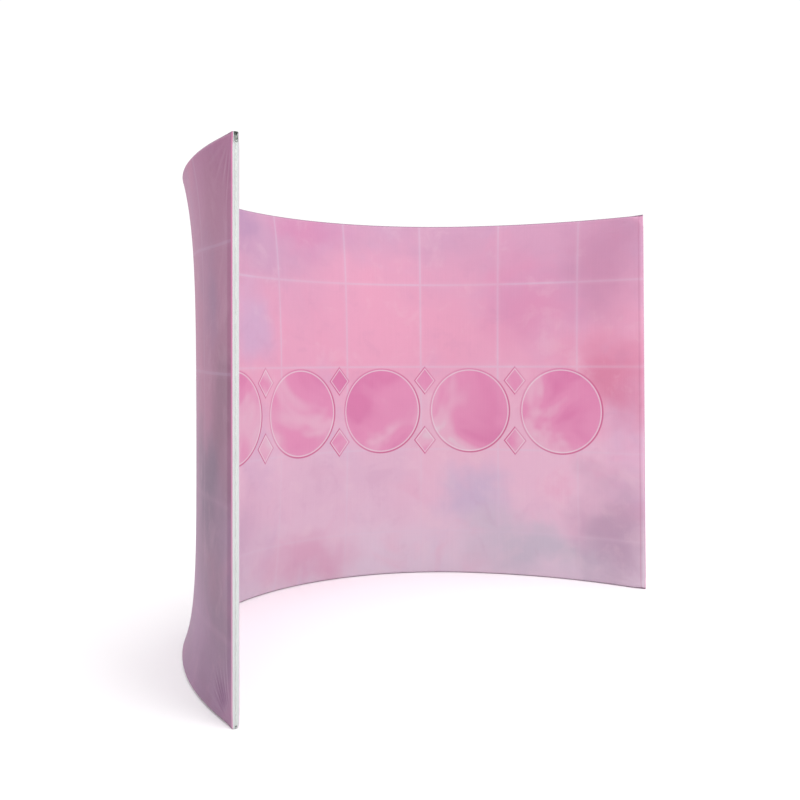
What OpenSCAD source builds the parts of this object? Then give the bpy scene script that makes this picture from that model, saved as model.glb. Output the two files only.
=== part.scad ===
// Free-standing curved display wall: a horseshoe-shaped frame of push-together
// aluminium tubes inside a stretched fabric cover that closes with a full-height
// zip at its left end. +Z is up, +X runs to the right-hand end, and the wall
// opens towards -Y. The origin is at the middle of the footprint, on the floor.

/* [Wall] */
// Height of the wall, floor to top seam
wall_h = 2300; // [1500:10:2600]
// Plan radius of the two middle rail tubes
inner_radius = 1322; // [900:1:2600]
// Length of each middle rail tube along its curve
inner_run = 1194; // [700:1:1500]
// Plan radius of the two end rail tubes
outer_radius = 2170; // [1500:1:4000]
// Length of each end rail tube along its curve
outer_run = 1063; // [700:1:1500]

/* [Tubes] */
// Outside diameter of the frame tube
tube_d = 30; // [26:1:32]
// Wall thickness of the frame tube
tube_t = 1.5; // [1.2:0.1:1.6]
// Centreline radius of the corner bends
corner_r = 60; // [50:5:80]
// Straight leg at each end of a corner bend
corner_leg = 50; // [48:1:80]
// Length of joining sleeve inside each tube
spigot_in = 60; // [56:1:80]
// Radial play between a joining sleeve and its tube
spigot_play = 0.08; // [0.05:0.01:0.1]
// Run from the middle of the wall to each upright
upright_run = 880; // [700:1:900]

/* [Snap buttons] */
// Button diameter
button_d = 8; // [7:0.5:8.5]
// Height of the button above the tube
button_proud = 2.6; // [2:0.1:3]
// Distance of a button from the joint it locks
button_from_joint = 32; // [26:1:36]

/* [Fabric cover] */
// Thickness of the cover's fabric
fabric_t = 0.8; // [0.6:0.1:1]
// How far the front face bows in at mid-height
front_bow = 67; // [20:1:80]
// How far the back face bows in at mid-height
back_bow = 71; // [20:1:74]
// Width of the binding tape on the seams
seam_tape_w = 18; // [12:1:22]
// Thickness of the binding tape
seam_tape_t = 0.8; // [0.6:0.1:1]

/* [Zip] */
// Overall width of the two zip tapes
zip_w = 30; // [26:1:30]
// Thickness of each zip tape
zip_tape_t = 0.6; // [0.5:0.1:0.7]
// Width of the closed coil
coil_w = 6.4; // [5.6:0.2:6.6]
// Length of the slider body
slider_l = 18; // [16:1:22]
// Length of the pull tab below its pivot
tab_l = 36; // [30:1:45]
// Width of the pull tab
tab_w = 13; // [11:1:14]

/* [Hidden] */
$fn = 64;

// --- derived sizes -------------------------------------------------------
tr = tube_d / 2;                        // tube outside radius
ti = tr - tube_t;                       // tube inside radius
so = ti - spigot_play;                  // sleeve outside radius
si = so - 1.42;                         // sleeve inside radius
s1 = inner_run;                         // run to the joint between the two rail radii
s2 = s1 + outer_run;                    // run to the corner joint
bend = corner_leg + corner_r;           // corner joint to post axis
sp = s2 + bend;                         // run to the end post's axis
su = upright_run;                       // run to the upright's axis
a1 = s1 / inner_radius * 180 / PI;
a2 = outer_run / outer_radius * 180 / PI;
ae = a1 + a2;                           // heading of the straight tail
wrap_i = (tr + 0.15) / cos(15);         // inside corner of the cover round a tube, at 30 degree steps
wrap_o = wrap_i + fabric_t;
tape_gap = 0.1;
zb = seam_tape_t + tape_gap + wrap_o;   // bottom rail axis
zt = wall_h - zb;                       // top rail axis
zm = wall_h / 2;                        // joint in the posts and uprights
end_wrap = wrap_o;                      // the cover's reach past the right post's axis
zip_t = 19;                             // inside face of the zip tapes, past the left post's axis
zip_o = zip_t + zip_tape_t;             // outside face of the tapes
n1 = 10;                                // rings of the cover in each middle tube's run
n2 = 8;                                 // rings of the cover in each end tube's run
coil_h = 2.2;                           // height of the zip's coil
pivot_x = zip_o + coil_h + 4;           // pull tab's pivot, past the left post's axis

// --- the wall's plan: two radii each side of the apex, then a straight tail ---
function sgn(s) = s < 0 ? -1 : 1;
function head_abs(u) = u <= s1 ? u / inner_radius * 180 / PI
                     : u <= s2 ? a1 + (u - s1) / outer_radius * 180 / PI : ae;
function head(s) = sgn(s) * head_abs(abs(s));
function arc1(a) = [inner_radius * sin(a), inner_radius * (cos(a) - 1)];
c2 = arc1(a1) - outer_radius * [sin(a1), cos(a1)];
function arc2(a) = c2 + outer_radius * [sin(a), cos(a)];
function right_side(u) = u <= s1 ? arc1(head_abs(u))
                       : u <= s2 ? arc2(head_abs(u))
                       : arc2(ae) + (u - s2) * [cos(ae), -sin(ae)];
function plan(s) = let (p = right_side(abs(s))) [sgn(s) * p[0], p[1]];
function out_of(s) = [sin(head(s)), cos(head(s))];
// A point d outside the plan line at run s, u further along the line's direction
function off(s, d) = plan(s) + d * out_of(s);

// --- where the middle of the footprint is, so that it lands on the origin ---
x_right = plan(sp)[0] + wrap_o * sin(ae);
x_left = plan(-sp)[0] - zip_w / 2 * sin(ae) - zip_o * cos(ae);
y_back = wrap_o + sag(0);
y_front = plan(-sp)[1] - (pivot_x + 0.8) * sin(ae) - tab_w / 2 * cos(ae);
mid = [(x_right + x_left) / 2, (y_back + y_front) / 2];

module placed() translate([-mid[0], -mid[1], 0]) children();
// Local X along the wall, local Y out of its back face
module at(s, z = 0) translate([plan(s)[0], plan(s)[1], z]) rotate([0, 0, -head(s)]) children();

// --- tube pieces ---------------------------------------------------------
module ring(ro, ri) difference() { circle(r = ro); if (ri > 0) circle(r = ri); }
module straight(len, ro, ri) difference() {
  cylinder(r = ro, h = len);
  if (ri > 0) translate([0, 0, -1]) cylinder(r = ri, h = len + 2);
}
// Run of tube along the right-hand half of the plan, inside one radius
module arc_run(u0, u1, ro, ri) {
  ha = head_abs(u0); hb = head_abs(u1);
  big = u1 <= s1 + 0.01;
  c = big ? [0, -inner_radius] : c2;
  r = big ? inner_radius : outer_radius;
  translate([c[0], c[1], 0]) rotate([0, 0, 90 - hb])
    rotate_extrude(angle = hb - ha, $fn = 200) translate([r, 0]) ring(ro, ri);
}
module sided(side) if (side < 0) mirror([1, 0, 0]) children(); else children();

// --- snap buttons: radial direction is local +Z, tube axis is local X -----
// [run, height, which way it points]: 0 up, 1 down, 2 along +s, 3 along -s
BUTTONS = [
  [button_from_joint, zt, 1], [-(s1 + button_from_joint), zt, 1], [s1 + button_from_joint, zt, 1],
  [button_from_joint, zb, 0], [-(s1 + button_from_joint), zb, 0], [s1 + button_from_joint, zb, 0],
  [-(s2 - button_from_joint), zt, 1], [-sp, zt - bend - button_from_joint, 2],
  [-(s2 - button_from_joint), zb, 0], [-sp, zb + bend + button_from_joint, 2],
  [s2 - button_from_joint, zt, 1], [sp, zt - bend - button_from_joint, 3],
  [s2 - button_from_joint, zb, 0], [sp, zb + bend + button_from_joint, 3],
  [-sp, zm + button_from_joint, 2], [sp, zm + button_from_joint, 3],
  [-su, zm + button_from_joint, 2], [su, zm + button_from_joint, 3]
];
module aim(i) {
  b = BUTTONS[i];
  at(b[0], b[1])
    if (b[2] == 0) children();
    else if (b[2] == 1) rotate([180, 0, 0]) children();
    else if (b[2] == 2) rotate([0, 90, 0]) children();
    else rotate([0, -90, 0]) children();
}
module button_hole(i) aim(i) translate([0, 0, 4]) cylinder(r = button_d / 2 + 0.08, h = tr + 4);
module button_shape() {
  top = tr + button_proud;
  b = button_d / 2;
  rotate_extrude($fn = 48) polygon([[0, 9.3], [b + 1.2, 9.3], [b + 1.2, 10.3], [b, 10.3],
    [b, top - 1.5], [b - 0.5, top - 0.7], [b - 1.4, top - 0.15], [b - 2.4, top], [0, top]]);
}
module snap_button(i) color([0.72, 0.73, 0.75]) placed() aim(i) button_shape();
// Bent leaf that pushes a button out: one leg under its flange, one on the far wall
module leaf() {
  difference() {
    translate([-9, -6.8, 8.6]) cube([33, 13.6, 0.5]);
    cylinder(r = button_d / 2 + 1.6, h = 20);
  }
  translate([23.5, -4, -10.8]) cube([0.5, 8, 19.6]);
  translate([-9, -4, -10.8]) cube([32.6, 8, 0.5]);
}

// --- rails -----------------------------------------------------------------
module inner_rail(side, z, up, holes) color([0.75, 0.76, 0.78]) placed() difference() {
  sided(side) translate([0, 0, z]) arc_run(0, s1, tr, ti);
  for (i = holes) button_hole(i);
  at(side * su, z) mirror([0, 0, up ? 0 : 1]) translate([0, 0, 4]) cylinder(r = 3.15, h = tr);
}
module outer_rail(side, z, holes) color([0.75, 0.76, 0.78]) placed() difference() {
  sided(side) translate([0, 0, z]) arc_run(s1, s2, tr, ti);
  for (i = holes) button_hole(i);
}
module left_outer_top_rail() outer_rail(-1, zt, [1, 6]);
module left_inner_top_rail() inner_rail(-1, zt, false, []);
module right_inner_top_rail() inner_rail(1, zt, false, [0]);
module right_outer_top_rail() outer_rail(1, zt, [2, 10]);
module left_outer_bottom_rail() outer_rail(-1, zb, [4, 8]);
module left_inner_bottom_rail() inner_rail(-1, zb, true, []);
module right_inner_bottom_rail() inner_rail(1, zb, true, [3]);
module right_outer_bottom_rail() outer_rail(1, zb, [5, 12]);

// --- corner bends ------------------------------------------------------------
// From the rail joint: leg, quarter bend, leg, in the plane of the wall's end
module bend_shape(ro, ri) {
  rotate([0, 90, 0]) straight(corner_leg, ro, ri);
  translate([corner_leg, 0, -corner_r]) rotate([90, 0, 0])
    rotate_extrude(angle = 90, $fn = 96) translate([corner_r, 0]) ring(ro, ri);
  translate([bend, 0, -bend]) straight(corner_leg, ro, ri);
}
module corner_bend(side, top) color([0.72, 0.73, 0.75]) placed()
  sided(side) at(s2, top ? zt : zb) mirror([0, 0, top ? 0 : 1]) bend_shape(tr, ti);
module left_top_corner_bend() corner_bend(-1, true);
module left_bottom_corner_bend() corner_bend(-1, false);
module right_top_corner_bend() corner_bend(1, true);
module right_bottom_corner_bend() corner_bend(1, false);

// --- posts and uprights ------------------------------------------------------
// Tube ends stand 0.1 mm apart where they butt
module upright_tube(s, z0, z1, holes) color([0.75, 0.76, 0.78]) placed() difference() {
  at(s, z0 + 0.05) straight(z1 - z0 - 0.1, tr, ti);
  for (i = holes) button_hole(i);
}
module left_post_upper_tube() upright_tube(-sp, zm, zt - bend, [7, 14]);
module left_post_lower_tube() upright_tube(-sp, zb + bend, zm, [9]);
module right_post_upper_tube() upright_tube(sp, zm, zt - bend, [11, 15]);
module right_post_lower_tube() upright_tube(sp, zb + bend, zm, [13]);
collar = 12;                            // saddle collar between a rail and an upright
module left_upright_upper_tube() upright_tube(-su, zm, zt - tr - collar, [16]);
module left_upright_lower_tube() upright_tube(-su, zb + tr + collar, zm, []);
module right_upright_upper_tube() upright_tube(su, zm, zt - tr - collar, [17]);
module right_upright_lower_tube() upright_tube(su, zb + tr + collar, zm, []);

// --- joining sleeves -----------------------------------------------------------
// Half a sleeve bent to radius r, starting at the joint and running back (dir -1) or on (dir 1)
module bent_half(r, len, dir) translate([0, -r, 0]) rotate([0, 0, dir > 0 ? 90 - len / r * 180 / PI : 90])
  rotate_extrude(angle = len / r * 180 / PI, $fn = 200) translate([r, 0]) ring(so, si);
// Button hole at run u on a bend of radius r
module sleeve_hole(r, u, up) translate([0, -r, 0]) rotate([0, 0, -u / r * 180 / PI])
  translate([0, r, 0]) mirror([0, 0, up ? 0 : 1]) translate([0, 0, 4])
    cylinder(r = button_d / 2 + 0.08, h = tr + 4);
module centre_sleeve(up) difference() {
  translate([0, -inner_radius, 0]) rotate([0, 0, 90 - spigot_in / inner_radius * 180 / PI])
    rotate_extrude(angle = 2 * spigot_in / inner_radius * 180 / PI, $fn = 200)
      translate([inner_radius, 0]) ring(so, si);
  sleeve_hole(inner_radius, button_from_joint, up);
}
// Sleeve where the two rail radii meet: bent to the mean of them, and turned a little so that
// it stays inside its play in both tubes
mean_r = 2 / (1 / inner_radius + 1 / outer_radius);
turn = 0.828 * spigot_in * (1 / inner_radius - 1 / outer_radius) / 4 * 180 / PI;
module side_sleeve(up) difference() {
  rotate([0, 0, turn]) translate([0, -mean_r, 0]) rotate([0, 0, 90 - spigot_in / mean_r * 180 / PI])
    rotate_extrude(angle = 2 * spigot_in / mean_r * 180 / PI, $fn = 200) translate([mean_r, 0]) ring(so, si);
  sleeve_hole(outer_radius, button_from_joint, up);
}
module rail_sleeves() color([0.62, 0.63, 0.66]) placed() {
  at(0, zb) centre_sleeve(true);
  at(0, zt) centre_sleeve(false);
  for (side = [-1, 1]) sided(side) {
    at(s1, zb) side_sleeve(true);
    at(s1, zt) side_sleeve(false);
  }
}
module corner_sleeves() color([0.62, 0.63, 0.66]) placed() difference() {
  for (side = [-1, 1]) sided(side) {
    for (z = [zb, zt]) at(s2, z) union() {
      bent_half(outer_radius, spigot_in, -1);
      rotate([0, 90, 0]) straight(corner_leg - 5, so, si);
    }
    at(sp, zt - bend - spigot_in) straight(spigot_in + corner_leg - 5, so, si);
    at(sp, zb + bend - corner_leg + 5) straight(spigot_in + corner_leg - 5, so, si);
  }
  for (i = [6 : 13]) button_hole(i);
}
module post_sleeves() color([0.62, 0.63, 0.66]) placed() difference() {
  for (s = [-sp, -su, su, sp]) at(s, zm - spigot_in) straight(2 * spigot_in, so, si);
  for (i = [14 : 17]) button_hole(i);
}

// --- saddle plugs that seat the uprights on the rails -----------------------------
plug_l = 50;
module saddle_plug() difference() {
  union() {
    cylinder(r = tr - 0.6, h = tr + collar - 0.1);
    translate([0, 0, tr]) cylinder(r = so, h = collar + plug_l);
  }
  translate([-30, 0, 0]) rotate([0, 90, 0]) cylinder(r = tr + 0.15, h = 60);
  cylinder(r = 3.1, h = 100);
  translate([0, 0, tr + 7]) cylinder(r = 9, h = 100);
}
module each_saddle() for (s = [-su, su]) {
  at(s, zb) children();
  at(s, zt) mirror([0, 0, 1]) children();
}
module upright_saddle_plugs() color([0.15, 0.15, 0.16]) placed() each_saddle() saddle_plug();
// Cap screw up through the plug's floor into a nut inside the rail
module saddle_screws() color([0.55, 0.56, 0.58]) placed() each_saddle() difference() {
  union() {
    translate([0, 0, tr + 7.02]) cylinder(r = 5, h = 6);
    translate([0, 0, 6]) cylinder(r = 3, h = tr + 3);
  }
  translate([0, 0, tr + 10]) cylinder(r = 2.88, h = 4, $fn = 6);
}
module saddle_nuts() color([0.6, 0.6, 0.62]) placed() each_saddle() difference() {
  translate([0, 0, 7]) cylinder(r = 5.77, h = 5, $fn = 6);
  cylinder(r = 3.05, h = 20);
}
module snap_button_springs() color([0.5, 0.5, 0.52]) placed()
  for (i = [0 : len(BUTTONS) - 1]) aim(i) leaf();

module snap_button_top_centre() snap_button(0);
module snap_button_top_left() snap_button(1);
module snap_button_top_right() snap_button(2);
module snap_button_bottom_centre() snap_button(3);
module snap_button_bottom_left() snap_button(4);
module snap_button_bottom_right() snap_button(5);
module snap_button_left_top_corner_rail() snap_button(6);
module snap_button_left_top_corner_post() snap_button(7);
module snap_button_left_bottom_corner_rail() snap_button(8);
module snap_button_left_bottom_corner_post() snap_button(9);
module snap_button_right_top_corner_rail() snap_button(10);
module snap_button_right_top_corner_post() snap_button(11);
module snap_button_right_bottom_corner_rail() snap_button(12);
module snap_button_right_bottom_corner_post() snap_button(13);
module snap_button_left_post_middle() snap_button(14);
module snap_button_right_post_middle() snap_button(15);
module snap_button_left_upright() snap_button(16);
module snap_button_right_upright() snap_button(17);

// --- the cover's two faces ---------------------------------------------------------
// Rings along the wall, from the zip end to the right seam
right_runs = concat(
  [for (i = [0 : n1]) if (i * s1 / n1 < su - 16) i * s1 / n1],
  [su - 12, su - 8, su + 8, su + 12],
  [for (i = [0 : n1]) if (i * s1 / n1 > su + 16) i * s1 / n1],
  [for (i = [1 : n2]) s1 + i * (s2 - s1) / n2],
  [s2 + bend / 2, sp]);
turn_steps = [30, 60, 90];
left_runs = [for (i = [len(right_runs) - 1 : -1 : 1]) -right_runs[i]];
// How far a chord between rings cuts inside the true curve there
function sag(u) = u < s1 + 1 ? pow(s1 / n1, 2) / 8 / inner_radius
                : u < s2 + 1 ? pow((s2 - s1) / n2, 2) / 8 / outer_radius : 0;
function cosh(x) = (exp(x) + exp(-x)) / 2;
function rise(z, k) = let (t = min(max((z - zb) / (zt - zb), 0), 1))
  (1 - cosh(k * (t - 0.5)) / cosh(k / 2)) / (1 - 1 / cosh(k / 2));
function front_in(s, z) = let (u = abs(s)) u >= sp ? 0
  : front_bow * rise(z, 5) * (1 - exp(-(sp - u) / 300));
// The back draws in more sharply above the floor than below the top
function back_rise(z) = let (t = min(max((z - zb) / (zt - zb), 0), 1))
  (1 - exp(-11 * t)) * (1 - exp(-8.8 * (1 - t)));
function back_in(s, z) = let (u = abs(s)) u >= sp ? 0
  : back_bow * back_rise(z) * (u > su
      ? (1 - exp(-max(u - su - 8, 0) / 150)) * (1 - exp(-max(sp - 34 - u, 0) / 300))
      : 1 - exp(-max(su - 8 - u, 0) / 350));
// Profile over the height: a quarter turn round the bottom rail, the face, a quarter turn round the top
z_steps = [0, 0.05, 0.12, 0.22, 0.36, 0.5, 0.64, 0.78, 0.88, 0.95, 1];
function profile(r) = concat(
  [for (a = turn_steps) [r * cos(120 - a), zb - r * sin(120 - a)]],
  [for (t = z_steps) [r, zb + t * (zt - zb)]],
  [for (a = turn_steps) [r * cos(a), zt + r * sin(a)]]);
// face -1 is the front, 1 is the back; r is the wrap radius of this skin
function skin_row(s, face, r, past, narrow) = let (h = head(s), g = face > 0 ? sag(abs(s)) : 0)
  [for (q = profile(r)) let (
      inward = face < 0 ? front_in(s, q[1]) : back_in(s, q[1]),
      d = face * q[0] * narrow - inward + (q[0] > 0.6 * r ? g : q[0] > 0.1 * r ? 2 * g : 0),
      p = off(s, d) + past * sgn(s) * [cos(h), -sin(h)])
    [p[0], p[1], q[1]]];
function skin(face, r) = concat(
  [skin_row(-sp, face, r, zip_t - 0.1, 0.93), skin_row(-sp, face, r, 11, 0.985)],
  [for (s = left_runs) skin_row(s, face, r, 0, 1)],
  [for (s = right_runs) skin_row(s, face, r, 0, 1)],
  [for (a = turn_steps) skin_row(sp, face, r, r * sin(a), max(cos(a), 0.001))]);
module fabric_face(face) {
  outer = skin(face, wrap_o);
  inner = skin(face, wrap_i);
  m = len(outer);
  n = len(outer[0]);
  pts = concat([for (row = outer) each row], [for (row = inner) each row]);
  q = function(i, j) i * n + j;
  k = m * n;
  quads = concat(
    [for (i = [0 : m - 2], j = [0 : n - 2]) [q(i, j), q(i + 1, j), q(i + 1, j + 1), q(i, j + 1)]],
    [for (i = [0 : m - 2], j = [0 : n - 2]) [k + q(i, j), k + q(i, j + 1), k + q(i + 1, j + 1), k + q(i + 1, j)]],
    [for (i = [0 : m - 2]) [q(i, 0), k + q(i, 0), k + q(i + 1, 0), q(i + 1, 0)]],
    [for (i = [0 : m - 2]) [q(i, n - 1), q(i + 1, n - 1), k + q(i + 1, n - 1), k + q(i, n - 1)]],
    [for (j = [0 : n - 2]) [q(0, j), q(0, j + 1), k + q(0, j + 1), k + q(0, j)]],
    [for (j = [0 : n - 2]) [q(m - 1, j), k + q(m - 1, j), k + q(m - 1, j + 1), q(m - 1, j + 1)]]);
  tris = [for (f = quads) each [[f[0], f[1], f[2]], [f[0], f[2], f[3]]]];
  polyhedron(pts, face > 0 ? tris : [for (t = tris) [t[2], t[1], t[0]]]);
}
module front_fabric_panel() color([0.86, 0.64, 0.76]) placed() fabric_face(-1);
module back_fabric_panel() color([0.66, 0.52, 0.64]) placed() fabric_face(1);

// --- binding tape on the seams --------------------------------------------------------
lap = 0.003;                            // degrees by which the runs of a tape run into each other
module flat_run(z, w, t) {
  for (side = [-1, 1]) sided(side) {
    translate([c2[0], c2[1], z]) rotate([0, 0, 90 - ae])
      rotate_extrude(angle = a2, $fn = 200) translate([outer_radius - w / 2, 0]) square([w, t]);
    at(s2, z) translate([-0.1, -w / 2, 0]) cube([bend + 16.1, w, t]);
  }
  translate([0, -inner_radius, z]) rotate([0, 0, 90 - a1 - lap])
    rotate_extrude(angle = 2 * (a1 + lap), $fn = 200) translate([inner_radius - w / 2, 0]) square([w, t]);
}
module top_seam_tape() color([0.62, 0.5, 0.6]) placed() flat_run(wall_h - seam_tape_t, seam_tape_w, seam_tape_t);
module bottom_seam_tape() color([0.62, 0.5, 0.6]) placed() flat_run(0, seam_tape_w, seam_tape_t);
module right_seam_tape() color([0.66, 0.52, 0.62]) placed()
  at(sp) translate([wrap_o + tape_gap, -5, 2]) cube([seam_tape_t, 10, wall_h - 4]);

// --- the zip: local X out of the wall's left end, local Y to the front face ------------
module zip_end() at(-sp) rotate([0, 0, 180]) children();
gap = 0.6;                              // half the gap between the coils
slider_top = wall_h - 4;
tape_slot = 1;                          // half the gap between the tapes
module zip_tape(side) color([0.89, 0.89, 0.88]) placed() zip_end() mirror([0, side < 0 ? 1 : 0, 0])
  translate([zip_t, tape_slot, 2]) cube([zip_tape_t, zip_w / 2 - tape_slot, wall_h - 4]);
module front_zip_tape() zip_tape(1);
module back_zip_tape() zip_tape(-1);
module zip_coil(side) color([0.8, 0.8, 0.79]) placed() zip_end() mirror([0, side < 0 ? 1 : 0, 0])
  translate([zip_o, tape_slot, 12]) linear_extrude(wall_h - 8 - 12)
    polygon([[0, 0], [0.5, gap - tape_slot], [1.7, gap - tape_slot], [coil_h, 0.1], [coil_h, 1.6],
      [1.4, coil_w / 2 - tape_slot], [0, coil_w / 2 - tape_slot]]);
module front_zip_coil() zip_coil(1);
module back_zip_coil() zip_coil(-1);
module zip_end_stops() color([0.55, 0.56, 0.55]) placed() zip_end() {
  for (m = [0, 1]) mirror([0, m, 0]) translate([zip_o, gap, wall_h - 7.4]) cube([2.4, 3.4, 3.6]);
  translate([zip_o, -4, 6]) cube([2.4, 8, 6]);
}
pivot_z = slider_top - 6.5;
// Plate of the slider: wide at the mouth, narrow at the tail
module slider_plate(w0, w1) polygon([[-w1, 0], [w1, 0], [w1, 5], [w0, slider_l - 6], [w0, slider_l - 1.5],
  [w0 - 1.5, slider_l], [-w0 + 1.5, slider_l], [-w0, slider_l - 1.5], [-w0, slider_l - 6], [-w1, 5]]);
module on_chain(x, t) translate([x, 0, slider_top - slider_l]) rotate([90, 0, 90]) linear_extrude(t) children();
module zip_slider() color([0.33, 0.35, 0.33]) placed() zip_end() {
  top_x = zip_o + coil_h + 0.3;
  difference() {
    union() {
      on_chain(top_x, 1.4) slider_plate(8, 5.6);
      on_chain(zip_t - 1.8, 1.4) slider_plate(7, 5.2);
      // lips over the outer edges of the coil
      for (m = [0, 1]) mirror([0, m, 0])
        translate([zip_o + 0.3, coil_w / 2 + 0.3, slider_top - slider_l]) cube([coil_h + 0.1, 1.8, slider_l - 6]);
      // wedge that parts the two coils, joining the two plates
      translate([zip_t - 0.5, -0.4, slider_top - 6]) cube([coil_h + 1.6, 0.8, 4.5]);
      // bridge that carries the pull tab
      translate([top_x + 1.3, -2.2, pivot_z - 4.2]) cube([4.0, 4.4, 8.4]);
    }
    translate([pivot_x, -5, pivot_z]) rotate([-90, 0, 0]) cylinder(r = 1.0, h = 10);
  }
}
module tab_outline() difference() {
  union() {
    translate([0, -(tab_l - tab_w / 2)]) circle(r = tab_w / 2);
    polygon([[-4.2, 1.5], [4.2, 1.5], [4.2, -7], [tab_w / 2, -13], [tab_w / 2, -(tab_l - tab_w / 2)],
      [-tab_w / 2, -(tab_l - tab_w / 2)], [-tab_w / 2, -13], [-4.2, -7]]);
  }
  translate([-2.5, -6]) square([5, 20]);
  translate([0, -(tab_l - tab_w / 2)]) circle(r = 4.2);
}
module zip_pull_tab() color([0.38, 0.4, 0.38]) placed() zip_end() translate([pivot_x, 0, pivot_z]) {
  rotate([90, 0, 90]) translate([0, 0, -0.8]) linear_extrude(1.6) tab_outline();
  translate([0, -3.2, 0]) rotate([-90, 0, 0]) cylinder(r = 0.92, h = 6.4);
}

left_outer_top_rail();
left_inner_top_rail();
right_inner_top_rail();
right_outer_top_rail();
left_outer_bottom_rail();
left_inner_bottom_rail();
right_inner_bottom_rail();
right_outer_bottom_rail();
left_top_corner_bend();
left_bottom_corner_bend();
right_top_corner_bend();
right_bottom_corner_bend();
left_post_upper_tube();
left_post_lower_tube();
right_post_upper_tube();
right_post_lower_tube();
left_upright_upper_tube();
left_upright_lower_tube();
right_upright_upper_tube();
right_upright_lower_tube();
rail_sleeves();
corner_sleeves();
post_sleeves();
upright_saddle_plugs();
saddle_screws();
saddle_nuts();
snap_button_springs();
snap_button_top_centre();
snap_button_top_left();
snap_button_top_right();
snap_button_bottom_centre();
snap_button_bottom_left();
snap_button_bottom_right();
snap_button_left_top_corner_rail();
snap_button_left_top_corner_post();
snap_button_left_bottom_corner_rail();
snap_button_left_bottom_corner_post();
snap_button_right_top_corner_rail();
snap_button_right_top_corner_post();
snap_button_right_bottom_corner_rail();
snap_button_right_bottom_corner_post();
snap_button_left_post_middle();
snap_button_right_post_middle();
snap_button_left_upright();
snap_button_right_upright();
front_fabric_panel();
back_fabric_panel();
top_seam_tape();
bottom_seam_tape();
right_seam_tape();
front_zip_tape();
back_zip_tape();
front_zip_coil();
back_zip_coil();
zip_end_stops();
zip_slider();
zip_pull_tab();
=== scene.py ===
import math

import bpy
import numpy as np
from mathutils import Matrix, Vector


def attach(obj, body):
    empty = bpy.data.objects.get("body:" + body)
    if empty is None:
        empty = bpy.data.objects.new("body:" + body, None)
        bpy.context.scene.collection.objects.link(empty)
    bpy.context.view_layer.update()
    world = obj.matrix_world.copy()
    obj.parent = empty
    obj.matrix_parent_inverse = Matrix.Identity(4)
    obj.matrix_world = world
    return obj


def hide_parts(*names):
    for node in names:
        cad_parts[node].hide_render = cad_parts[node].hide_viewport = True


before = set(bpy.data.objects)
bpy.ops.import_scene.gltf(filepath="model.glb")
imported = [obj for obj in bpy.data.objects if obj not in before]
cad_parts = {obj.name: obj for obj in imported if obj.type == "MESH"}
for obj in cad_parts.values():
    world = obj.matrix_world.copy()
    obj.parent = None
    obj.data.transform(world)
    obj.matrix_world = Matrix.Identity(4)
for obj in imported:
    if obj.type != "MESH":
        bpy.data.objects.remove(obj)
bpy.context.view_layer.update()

# ---------------------------------------------------------------------------
# Camera: the wall from its open side, close to the end with the zip
# ---------------------------------------------------------------------------


def make_camera():
    yaw, pitch, roll = 0.77261, 0.01496, -0.00300
    ahead = Vector((math.sin(yaw) * math.cos(pitch), math.cos(yaw) * math.cos(pitch), math.sin(pitch)))
    right = Vector((math.cos(yaw), -math.sin(yaw), 0))
    up = right.cross(ahead)
    r = math.cos(roll) * right + math.sin(roll) * up
    u = -math.sin(roll) * right + math.cos(roll) * up
    cam = bpy.data.objects.new("camera", bpy.data.cameras.new("camera"))
    cam.data.lens = 905.08 / 800 * 36
    cam.data.sensor_width = 36
    cam.data.shift_y = -53.50 / 800
    cam.data.clip_start, cam.data.clip_end = 0.05, 200
    m = Matrix((r, u, -ahead)).transposed().to_4x4()
    m.translation = Vector((-3.4731, -3.7399, 1.4101))
    cam.matrix_world = m
    bpy.context.scene.collection.objects.link(cam)
    bpy.context.scene.camera = cam


make_camera()

# ---------------------------------------------------------------------------
# The wall's plan, in metres in the shared frame
# ---------------------------------------------------------------------------

R1, R2 = 1.322, 2.170          # plan radii of the middle and end rails
S1, S2 = 1.194, 2.257          # runs to the joints
SU, SP = 0.880, 2.367          # runs to the uprights and the end posts
A1 = S1 / R1
AE = A1 + (S2 - S1) / R2
ZB, ZT = 0.017384, 2.282616    # heights of the rail axes
RC = 0.060                     # centreline radius of the corner bends
RO = 0.0164                    # outer radius of the fabric round a tube
CLOTH = 0.0006
EL = 0.0188                    # reach of the cover past the zip-end post's axis
SHIFT = np.array([0.0010023, 0.7905355])
C1 = np.array([0.0, -R1])
C2 = np.array([R1 * math.sin(A1), R1 * (math.cos(A1) - 1)]) - R2 * np.array([math.sin(A1), math.cos(A1)])
TAIL = C2 + R2 * np.array([math.sin(AE), math.cos(AE)])


def plan(s):
    """x, y, heading of the wall's centreline at run s."""
    s = np.asarray(s, float)
    u, sign = np.abs(s), np.where(s < 0, -1.0, 1.0)
    h = np.where(u <= S1, u / R1, np.where(u <= S2, A1 + (u - S1) / R2, AE))
    x = np.where(u <= S1, R1 * np.sin(h), C2[0] + R2 * np.sin(h))
    y = np.where(u <= S1, C1[1] + R1 * np.cos(h), C2[1] + R2 * np.cos(h))
    past = np.maximum(u - S2, 0)
    x, y = x + past * math.cos(AE), y - past * math.sin(AE)
    return sign * x + SHIFT[0], y + SHIFT[1], sign * h


def off(s, d, z):
    """Points at run s, d outside the centreline, height z."""
    x, y, h = plan(s)
    return np.stack([x + d * np.sin(h), y + d * np.cos(h), z + 0 * x], axis=-1)


POST = plan(-SP)
ZIP_ORIGIN = np.array([POST[0], POST[1], 0.0])
ZIP_OUT = np.array([-math.cos(AE), -math.sin(AE), 0.0])
ZIP_FRONT = np.array([math.sin(AE), -math.cos(AE), 0.0])


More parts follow.
